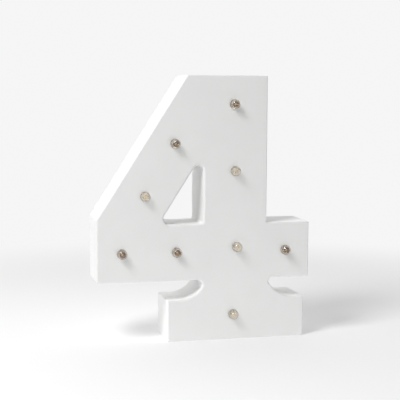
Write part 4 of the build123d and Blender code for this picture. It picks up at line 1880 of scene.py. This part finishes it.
    def _cathode(self, cup: Cup, finishes: Sequence[bpy.types.Material]) -> bpy.types.Mesh:
        """The cathode: a stamped plate that carries the cup, and its lead.

        Args:
            cup: The cup.
            finishes: The materials of the stamping and of the cup's lining.

        Returns:
            The mesh.
        """
        left, right = -self.lead_x - self.lead_half, -self.lead_x + self.lead_half
        floor = cup.top - cup.depth
        section = [
            (left, -self.cathode_lead),
            (right, -self.cathode_lead),
            (right, self.anvil_shoulder),
            (self.anvil_edge, self.anvil_height),
            (self.anvil_edge, floor),
            (left, floor),
        ]
        draft = Draft()
        draft.prism([Vector(p) for p in section], 2 * self.lead_half)
        profile = [
            (0, self.anvil_height),
            (cup.floor, self.anvil_height),
            (cup.outer, floor + cup.depth * cup.SHOULDER),
            (cup.outer, cup.top),
            (cup.mouth, cup.top),
            (cup.floor, floor + cup.depth * cup.WEB),
            (0, floor + cup.depth * cup.WEB),
        ]
        draft.lathe(profile, self.sides // 2, [0, 0, 0, 1, 1, 1])
        return draft.mesh("lamp_cathode", finishes, crease=30)

    def _anode(self, cup: Cup, palette: Palette) -> bpy.types.Mesh:
        """The anode: a post beside the cup, its lead, and the bond wire to the chip.

        Args:
            cup: The cup.
            palette: The materials.

        Returns:
            The mesh.
        """
        post = max(self.lead_x, cup.outer + self.lead_half + self.post_gap)
        post_top = cup.top + self.post_rise
        left, right = self.lead_x - self.lead_half, self.lead_x + self.lead_half
        section = [
            (left, -self.anode_lead),
            (right, -self.anode_lead),
            (right, self.anvil_shoulder),
            (post + self.lead_half, self.anvil_height),
            (post + self.lead_half, post_top),
            (post - self.lead_half, post_top),
            (post - self.lead_half, self.anvil_height),
            (left, self.anvil_shoulder + self.lead_half),
        ]
        draft = Draft()
        draft.prism([Vector(p) for p in section], 2 * self.lead_half)
        start, end = Vector((0, 0, self._crest(cup))), Vector((post, 0, post_top))
        rings = []
        turns = [FULL_TURN * k / self.bond_sides for k in range(self.bond_sides)]
        for step in range(self.bond_steps + 1):
            share = step / self.bond_steps
            rise = self.bond_arch * math.sin(math.pi * share)
            middle = start.lerp(end, share) + Vector((0, 0, 1)) * rise
            around = (Vector((math.sin(a) * 0.6, math.cos(a), math.sin(a) * 0.8)) for a in turns)
            rings.append(draft.ring(middle + side * self.bond_radius for side in around))
        for first, second in zip(rings, rings[1:]):
            draft.bridge(first, second, finish=1)
        draft.face(rings[0][::-1], 1)
        draft.face(rings[-1], 1)
        return draft.mesh("lamp_anode", [palette.silver, palette.gold], crease=30)

    def _crest(self, cup: Cup) -> float:
        """How far the phosphor's crest lies above the lamp's base."""
        return cup.top - cup.depth * cup.SUNK + cup.dab * cup.CROWN

    def _phosphor(self, cup: Cup, palette: Palette) -> bpy.types.Mesh:
        """The chip under its phosphor, a low dome on the floor of the cup.

        Args:
            cup: The cup.
            palette: The materials.

        Returns:
            The mesh.
        """
        floor = cup.top - cup.depth * cup.SUNK
        profile = [(0, floor)]
        for i in range(self.dab_steps):
            angle = math.pi / 2 * i / self.dab_steps
            profile.append((cup.dab * math.cos(angle), floor + (self._crest(cup) - floor) * math.sin(angle)))
        profile.append((0, self._crest(cup)))
        draft = Draft()
        draft.lathe(profile, self.sides // 2)
        return draft.mesh("lamp_phosphor", [palette.phosphor])

    def _glue(self, palette: Palette, number: int) -> bpy.types.Mesh:
        """A blob of glue behind the panel, over the lamp's base and up round its side.

        Args:
            palette: The materials.
            number: The lamp's number, which gives each blob its own lumps.

        Returns:
            The mesh.
        """
        outer = self.radius + self.glue_reach
        draft = Draft()
        turns = [FULL_TURN * k / self.glue_sides for k in range(self.glue_sides)]
        rings = []
        for share in self.glue_rings:
            radius = self.glue_crest + (outer - self.glue_crest) * share
            height = -self.glue_depth + (self.panel_rear + self.glue_depth) * share**self.glue_swell
            ring = []
            for a in turns:
                spot = Vector((math.cos(a), math.sin(a), number * 3.1))
                reach = radius * (1 + self.glue_wobble * share * noise.noise(spot * 1.3))
                lump = noise.noise(spot * 2.1 + Vector((0, 0, share * 2)))
                sag = self.glue_sag * lump * math.sin(math.pi * share)
                ring.append(Vector((reach * math.cos(a), reach * math.sin(a), height + sag)))
            rings.append(draft.ring(ring))
        for first, second in zip(rings, rings[1:]):
            draft.bridge(first, second)
        draft.fan(rings[0], Vector((0, 0, -self.glue_depth)))
        film = []
        for radius, height in (
            (self.radius + self.film_side, self.panel_rear),
            (self.radius + self.film_lip, self.panel_rear + self.sleeve_rise),
            (self.radius - self.glue_wet, self.panel_rear + self.sleeve_rise),
            (self.radius - self.glue_wet, self.glue_wet),
        ):
            film.append(draft.ring(
                Vector((radius * math.cos(a), radius * math.sin(a), height)) for a in turns
            ))
        draft.bridge(rings[-1], film[0])
        for first, second in zip(film, film[1:]):
            draft.bridge(first, second)
        draft.fan(film[-1], Vector((0, 0, self.glue_wet)))
        return draft.mesh(f"lamp_glue_{number}", [palette.glue])


# Housing, cells and switch


@dataclass
class SoftEdges:
    """Modifiers that ease the edges of a node of the frame, as a mould or a press does.

    Attributes:
        width: The width of an eased edge.
        segments: How many bands it has.
        limit: The angle in degrees from which an edge is eased.
    """

    width: float
    segments: int = 2
    limit: float = 28.0

    def put_on(self, node: str) -> None:
        """Eases the edges of one node.

        Args:
            node: The node's name.
        """
        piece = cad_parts[node]
        weld = piece.modifiers.new("weld", "WELD")
        weld.merge_threshold = 0.002 * MM
        flat = piece.modifiers.new("flat", "DECIMATE")
        flat.decimate_type = "DISSOLVE"
        flat.angle_limit = math.radians(1.0)
        ease = piece.modifiers.new("ease", "BEVEL")
        ease.width = self.width
        ease.segments = self.segments
        ease.limit_method = "ANGLE"
        ease.angle_limit = math.radians(self.limit)
        ease.harden_normals = False


def dress(node: str, finish: bpy.types.Material) -> None:
    """Gives a node of the frame its finish.

    Args:
        node: The node's name.
        finish: Its finish.
    """
    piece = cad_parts[node]
    piece.data.materials.clear()
    piece.data.materials.append(finish)


@dataclass
class BatteryBay:
    """The housing with its door, contacts, screws, cells and wires.

    A mark on a cell has strokes of half length mark and half width mark_stroke, mark_inset from its end.
    Inside the door, ribs draw the outline of each cell, its cap, icon_nub of its width wide, and its signs,
    icon_sign_share of half its height off its middle. Their roots are sunk by rib_root.
    """

    mould_edge: float = 0.25 * MM
    sides: int = 64
    cell_radius: float = 7.25 * MM
    cell_length: float = 50.5 * MM
    foil: float = 0.03 * MM
    mark: float = 1.5 * MM
    mark_stroke: float = 0.28 * MM
    mark_inset: float = 5.5 * MM
    rib: float = 0.5 * MM
    rib_height: float = 0.18 * MM
    rib_root: float = 0.05 * MM
    door_gap: float = 0.4 * MM
    icon_half_width: float = 4.4 * MM
    icon_half_height: float = 15.0 * MM
    icon_nub: float = 0.35
    icon_cap: float = 1.4 * MM
    icon_sign: float = 1.4 * MM
    icon_sign_share: float = 0.65

    def build(self, palette: Palette) -> None:
        """Dresses the housing's nodes and builds the cells.

        Args:
            palette: The materials.
        """
        for node, finish, slot in (
            ("battery_housing", palette.housing, "housing_plastic"),
            ("battery_door", palette.housing, "housing_plastic"),
            ("positive_contact", palette.nickel, "contact_steel"),
            ("negative_contact", palette.nickel, "contact_steel"),
            ("bridge_contact", palette.nickel, "contact_steel"),
            ("housing_screws", palette.zinc, "screw_steel"),
            ("positive_wire", palette.red, "red_insulation"),
            ("negative_wire", palette.black, "black_insulation"),
            ("switch_lead", palette.black, "black_insulation"),
        ):
            dress(node, finish)
        for node in ("battery_housing", "battery_door"):
            SoftEdges(self.mould_edge).put_on(node)
        cell = self._cell(palette)
        for node, cap_up in (("cell_left", True), ("cell_right", False)):
            low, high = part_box(node)
            middle = (low + high) / 2
            turn = Matrix() if cap_up else Matrix.Rotation(math.pi, 4, "Y")
            seat = Matrix.Translation(Vector((middle.x, middle.y, low.z if cap_up else high.z))) @ turn
            hand_over(place_piece(f"wrapped_{node}", cell, seat), Body.CASE, "cell_can", node)
        marks = place_piece("door_cell_marks", self._door_marks(palette))
        hand_over(marks, Body.DOOR, "housing_plastic")

    def _cell(self, palette: Palette) -> bpy.types.Mesh:
        """A cell from its flat end to its cap: steel, shrunk wrap, pale band, insulating ring and cap.

        Args:
            palette: The materials.

        Returns:
            The mesh.
        """
        steel, wrap, band = 0, 1, 2
        bands = [
            (0.0, 0.2, steel), (4.6, 0.2, steel), (4.9, 0.0, steel), (5.9, 0.0, steel), (6.3, 0.25, steel),
            (6.4, 0.2, wrap), (6.95, 0.35, wrap), (7.2, 0.75, wrap), (7.25, 1.4, wrap), (7.25, 37.8, wrap),
            (7.25, 38.0, band), (7.25, 48.6, band), (7.15, 49.1, band), (6.8, 49.45, band), (6.2, 49.5, band),
            (6.1, 49.35, steel), (3.4, 49.2, steel), (2.95, 49.3, steel), (2.75, 49.6, steel),
            (2.75, 50.2, steel), (2.6, 50.45, steel), (2.3, 50.5, steel), (0.0, 50.5, steel),
        ]
        draft = Draft()
        draft.lathe([(r * MM, z * MM) for r, z, _ in bands], self.sides, [f for _, _, f in bands[1:]])
        top = self.cell_length - self.mark_inset
        self._stroke(draft, self.mark, self.mark_stroke, top, wrap)
        self._stroke(draft, self.mark_stroke, self.mark, top, wrap)
        self._stroke(draft, self.mark, self.mark_stroke, self.mark_inset, band)
        return draft.mesh("wrapped_cell", [palette.nickel, palette.wrap, palette.band], crease=35)

    def _stroke(
        self, draft: Draft, half_width: float, half_height: float, height: float, finish: int
    ) -> None:
        """Adds a stroke of a mark, bent round the cell where it faces the door.

        Args:
            draft: The cell's mesh.
            half_width: Half the stroke's width.
            half_height: Half its height.
            height: How far up the cell its middle lies.
            finish: Its finish.
        """
        outer, inner = self.cell_radius + self.foil, self.cell_radius - self.foil
        quads = []
        for share in (-1.0, -0.5, 0.0, 0.5, 1.0):
            angle = math.pi / 2 + share * half_width / self.cell_radius
            quads.append([
                Vector((r * math.cos(angle), r * math.sin(angle), height + rise * half_height))
                for r, rise in ((inner, -1), (outer, -1), (outer, 1), (inner, 1))
            ])
        draft.hoop(quads, finish)

    def _door_marks(self, palette: Palette) -> bpy.types.Mesh:
        """Ribs inside the door that show which way round each cell goes.

        Args:
            palette: The materials.

        Returns:
            The mesh.
        """
        draft = Draft()
        low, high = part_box("cell_left")
        root = high.y + self.door_gap
        middle = (low.z + high.z) / 2
        half, tall = self.icon_half_width, self.icon_half_height
        nub, rise = half * self.icon_nub, self.icon_cap
        for node, up in (("cell_left", 1), ("cell_right", -1)):
            centre = Vector(((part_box(node)[0].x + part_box(node)[1].x) / 2, middle))
            shape = [
                (-half, -tall), (half, -tall), (half, tall), (nub, tall), (nub, tall + rise),
                (-nub, tall + rise), (-nub, tall), (-half, tall),
            ]
            loop = [centre + Vector((x, z * up)) for x, z in shape]
            strokes = list(zip(loop, loop[1:] + loop[:1]))
            offset = Vector((0, tall * self.icon_sign_share * up))
            plus, minus = centre + offset, centre - offset
            across, along = Vector((self.icon_sign, 0)), Vector((0, self.icon_sign))
            strokes += [(plus - across, plus + across), (plus - along, plus + along)]
            strokes.append((minus - across, minus + across))
            for start, end in strokes:
                draft.rib(start, end, self.rib, root + self.rib_root, root - self.rib_height)
        return draft.mesh("door_cell_marks", [palette.housing])


@dataclass
class SlideSwitch:
    """The slide switch: shell, body, knob and lugs, and the words beside it.

    Attributes:
        word_size: The size of the words.
        word_gap: How far the middle of a word lies from the middle of the slot.
        word_height: How far they stand up.
        word_weight: How much bolder their strokes are than the plain font's.
        knob_edge: The width of the knob's eased edges.
    """

    word_size: float = 2.8 * MM
    word_gap: float = 8.6 * MM
    word_height: float = 0.3 * MM
    word_weight: float = 0.05 * MM
    knob_edge: float = 0.2 * MM

    def build(self, palette: Palette) -> None:
        """Dresses the switch's nodes.

        Args:
            palette: The materials.
        """
        for node, finish, slot in (
            ("switch_shell", palette.nickel, "contact_steel"),
            ("switch_body", palette.knob, "switch_plastic"),
            ("switch_knob", palette.knob, "switch_plastic"),
            ("switch_terminals", palette.tin, "lead_frame"),
        ):
            dress(node, finish)
        SoftEdges(self.knob_edge).put_on("switch_knob")
        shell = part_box("switch_shell")
        centre = (shell[0] + shell[1]) / 2
        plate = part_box("battery_housing")[1].y
        for word, side in (("ON", 1), ("OFF", -1)):
            place = Vector((centre.x + side * self.word_gap, plate, centre.z))
            letters = self._letters(word, palette.housing, place)
            hand_over(letters, Body.CASE, "housing_plastic")

    def _letters(self, word: str, finish: bpy.types.Material, place: Vector) -> bpy.types.Object:
        """Moulds a word on the plate, to be read from behind.

        Args:
            word: The word.
            finish: Its material.
            place: The middle of the word on the plate.

        Returns:
            The piece.
        """
        text = bpy.data.curves.new(word, "FONT")
        text.body = word
        text.size = self.word_size
        text.align_x, text.align_y = "CENTER", "CENTER"
        text.extrude = self.word_height
        text.offset = self.word_weight
        text.resolution_u = 4
        model = bpy.data.objects.new(word, text)
        bpy.context.scene.collection.objects.link(model)
        settled = model.evaluated_get(bpy.context.evaluated_depsgraph_get())
        mesh = bpy.data.meshes.new_from_object(settled)
        bpy.data.objects.remove(model)
        mesh.materials.clear()
        mesh.materials.append(finish)
        facing = Matrix(((-1, 0, 0), (0, 0, 1), (0, 1, 0))).to_4x4()
        return place_piece(f"word_{word.lower()}", mesh, Matrix.Translation(place) @ facing)


# Studio


@dataclass(frozen=True)
class SoftBox:
    """A rectangular soft light.

    Attributes:
        name: Its name.
        towards: The direction from the numeral to the light.
        distance: How far off it stands.
        size: Its width and height.
        power: Its power in watts.
        colour: The colour of its light.
    """

    name: str
    towards: tuple[float, float, float]
    distance: float
    size: tuple[float, float]
    power: float
    colour: tuple[float, float, float] = (1.0, 1.0, 1.0)

    def hang(self, target: Vector) -> None:
        """Puts the light up, facing the target.

        Args:
            target: The point that it faces.
        """
        data = bpy.data.lights.new(self.name, "AREA")
        data.shape = "RECTANGLE"
        data.size, data.size_y = self.size
        data.energy = self.power
        data.color = self.colour
        light = bpy.data.objects.new(self.name, data)
        direction = Vector(self.towards).normalized()
        light.location = target + direction * self.distance
        light.rotation_mode = "QUATERNION"
        light.rotation_quaternion = (-direction).to_track_quat("-Z", "Y")
        bpy.context.scene.collection.objects.link(light)


@dataclass
class Studio:
    """A plain pale floor, one soft lamp and a surround that is brightest behind the numeral.

    Attributes:
        target: Where the lamp points.
        backdrop: The colour of the backdrop.
        floor_seen, floor_lift: How pale the floor looks, and how much of that has no shadow.
        floor_bounce: How much light it throws back.
        floor_half: Half its width.
        fade_start, fade_end: How far from the numeral it fades into the backdrop.
        pool_glow: How much light the patch of floor round the numeral throws up besides.
        pool_start, pool_end: How far from the numeral that patch fades.
        lamps: The lamps.
        walls: The directions that light comes from besides, and how much from each.
    """

    target: Vector = field(default_factory=lambda: Vector((-0.03, 0.0, 0.11)))
    backdrop: tuple[float, float, float] = (0.915, 0.918, 0.915)
    floor_seen: float = 0.8
    floor_lift: float = 0.1
    floor_bounce: float = 0.85
    floor_half: float = 4.0
    fade_start: float = 0.28
    fade_end: float = 0.6
    pool_glow: float = 0.38
    pool_start: float = 0.08
    pool_end: float = 0.4
    lamps: tuple[SoftBox, ...] = (SoftBox("key", (-0.567, -0.394, 0.724), 1.2, (0.42, 0.42), 9.6),)
    walls: tuple[tuple[tuple[float, float, float], float], ...] = (
        ((-1.0, 0.0, 0.0), 0.07),
        ((1.0, 0.0, 0.0), 0.11),
        ((0.0, 1.0, 0.0), 1.26),
        ((0.0, 0.0, 1.0), 0.42),
    )

    def build(self) -> None:
        """Builds the floor, the lamps and the world, and sets the view."""
        for lamp in self.lamps:
            lamp.hang(self.target)
        self._floor()
        self._world()
        scene = bpy.context.scene
        scene.view_settings.view_transform = "Standard"

    def _floor(self) -> None:
        """A wide floor that fades into the backdrop far from the numeral."""
        half = self.floor_half
        draft = Draft()
        corners = ((-half, -half, 0), (half, -half, 0), (half, half, 0), (-half, half, 0))
        draft.face(draft.ring(Vector(p) for p in corners))
        floor = place_piece("floor", draft.mesh("floor", [self._floor_finish()]))

    def _floor_finish(self) -> bpy.types.Material:
        """The floor as the camera sees it, and a plainer one for the light that bounces off it.

        Returns:
            The material.
        """
        made = bpy.data.materials.new("studio floor")
        made.use_nodes = True
        made.node_tree.nodes.clear()
        graph = Graph(made.node_tree)
        place = graph.add("TexCoord").outputs["Object"]
        away = graph.add("VectorMath", operation="LENGTH")
        graph.feed(away.inputs[0], place)
        fade = graph.spread(away.outputs["Value"], self.fade_start, self.fade_end, 0.0, 1.0)
        near = graph.add("AddShader")
        graph.feed(near.inputs[0], graph.add("BsdfDiffuse", Color=(self.floor_seen,) * 3 + (1,)).outputs[0])
        graph.feed(near.inputs[1], graph.add("Emission", Color=(self.floor_lift,) * 3 + (1,)).outputs[0])
        seen = graph.add("MixShader")
        graph.feed(seen.inputs[0], fade)
        graph.feed(seen.inputs[1], near.outputs[0])
        graph.feed(seen.inputs[2], graph.add("Emission", Color=(*self.backdrop, 1)).outputs[0])
        glow = graph.spread(away.outputs["Value"], self.pool_start, self.pool_end, self.pool_glow, 0.0)
        bounce = graph.add("AddShader")
        thrown = graph.add("BsdfDiffuse", Color=(self.floor_bounce,) * 3 + (1,))
        graph.feed(bounce.inputs[0], thrown.outputs[0])
        graph.feed(bounce.inputs[1], graph.add("Emission", Color=(1, 1, 1, 1), Strength=glow).outputs[0])
        path = graph.add("LightPath")
        mix = graph.add("MixShader")
        graph.feed(mix.inputs[0], self._direct(graph, path))
        graph.feed(mix.inputs[1], bounce.outputs[0])
        graph.feed(mix.inputs[2], seen.outputs[0])
        graph.add("OutputMaterial", Surface=mix.outputs[0])
        return made

    @staticmethod
    def _direct(graph: Graph, path: bpy.types.Node) -> bpy.types.NodeSocket:
        """1 for the rays that show a thing to the camera: straight, in a mirror or through glass."""
        mirrored = graph.math("MAXIMUM", path.outputs["Is Camera Ray"], path.outputs["Is Glossy Ray"])
        return graph.math("MAXIMUM", mirrored, path.outputs["Is Transmission Ray"])

    def _world(self) -> None:
        """The surround: the backdrop's colour where it is seen, and the light of each wall."""
        world = bpy.data.worlds.new("surround")
        bpy.context.scene.world = world
        world.use_nodes = True
        world.node_tree.nodes.clear()
        graph = Graph(world.node_tree)
        path = graph.add("LightPath")
        shown = graph.add("Background", Color=(*self.backdrop, 1), Strength=1.0)
        strength = 0.0
        for direction, power in self.walls:
            towards = graph.add("VectorMath", operation="DOT_PRODUCT")
            graph.feed(towards.inputs[0], graph.add("TexCoord").outputs["Generated"])
            graph.feed(towards.inputs[1], direction)
            facing = graph.math("MAXIMUM", towards.outputs["Value"], 0.0)
            strength = graph.math("ADD", strength, graph.math("MULTIPLY", facing, power))
        light = graph.add("Background", Color=(1, 1, 1, 1), Strength=strength)
        mix = graph.add("MixShader")
        graph.feed(mix.inputs[0], self._direct(graph, path))
        graph.feed(mix.inputs[1], light.outputs[0])
        graph.feed(mix.inputs[2], shown.outputs[0])
        graph.add("OutputWorld", Surface=mix.outputs[0])


@dataclass(frozen=True)
class PhotoCamera:
    """The camera at the photograph's place, as found from the numeral's corners.

    Attributes:
        place: Where it stands.
        azimuth: How far left of the face's normal it stands, in degrees.
        pitch, roll: How far it looks down and is turned about its own axis, in degrees.
        focal_pixels: Its focal length in pixels of the photograph's frame.
        frame_pixels: The width of that frame.
        sensor: The width of its sensor in millimetres.
    """

    place: tuple[float, float, float] = (-0.23727, -0.85819, 0.20617)
    azimuth: float = 13.885
    pitch: float = 5.852
    roll: float = 0.303
    focal_pixels: float = 1052.9
    frame_pixels: float = 400.0
    sensor: float = 36.0

    def set_up(self) -> None:
        """Makes the camera and gives it to the scene."""
        a, p, r = (math.radians(v) for v in (self.azimuth, self.pitch, self.roll))
        look = Vector((math.sin(a) * math.cos(p), math.cos(a) * math.cos(p), -math.sin(p)))
        level = Vector((math.cos(a), -math.sin(a), 0))
        above = level.cross(look)
        right = level * math.cos(r) + above * math.sin(r)
        up = above * math.cos(r) - level * math.sin(r)
        data = bpy.data.cameras.new("photo camera")
        data.sensor_width = self.sensor
        data.lens = self.focal_pixels / self.frame_pixels * self.sensor
        data.clip_start, data.clip_end = 0.01, 20.0
        camera = bpy.data.objects.new("photo camera", data)
        turn = Matrix((right, up, -look)).transposed().to_4x4()
        camera.matrix_world = Matrix.Translation(Vector(self.place)) @ turn
        bpy.context.scene.collection.objects.link(camera)
        bpy.context.scene.camera = camera


def main() -> None:
    """Builds the numeral and its studio."""
    logging.basicConfig(level=logging.INFO, format="%(name)s: %(message)s")
    noise.seed_set(NOISE_SEED)
    PhotoCamera().set_up()
    palette = Palette(Finishes())
    lamps = LampSet()
    case = PaperedCase(NumeralPlan.from_frame(), [in_plan(seat.base) for seat in lamps.seats])
    case.build(palette)
    lamps.build(palette)
    BatteryBay().build(palette)
    SlideSwitch().build(palette)
    Studio().build()


if __name__ == "__main__":
    main()
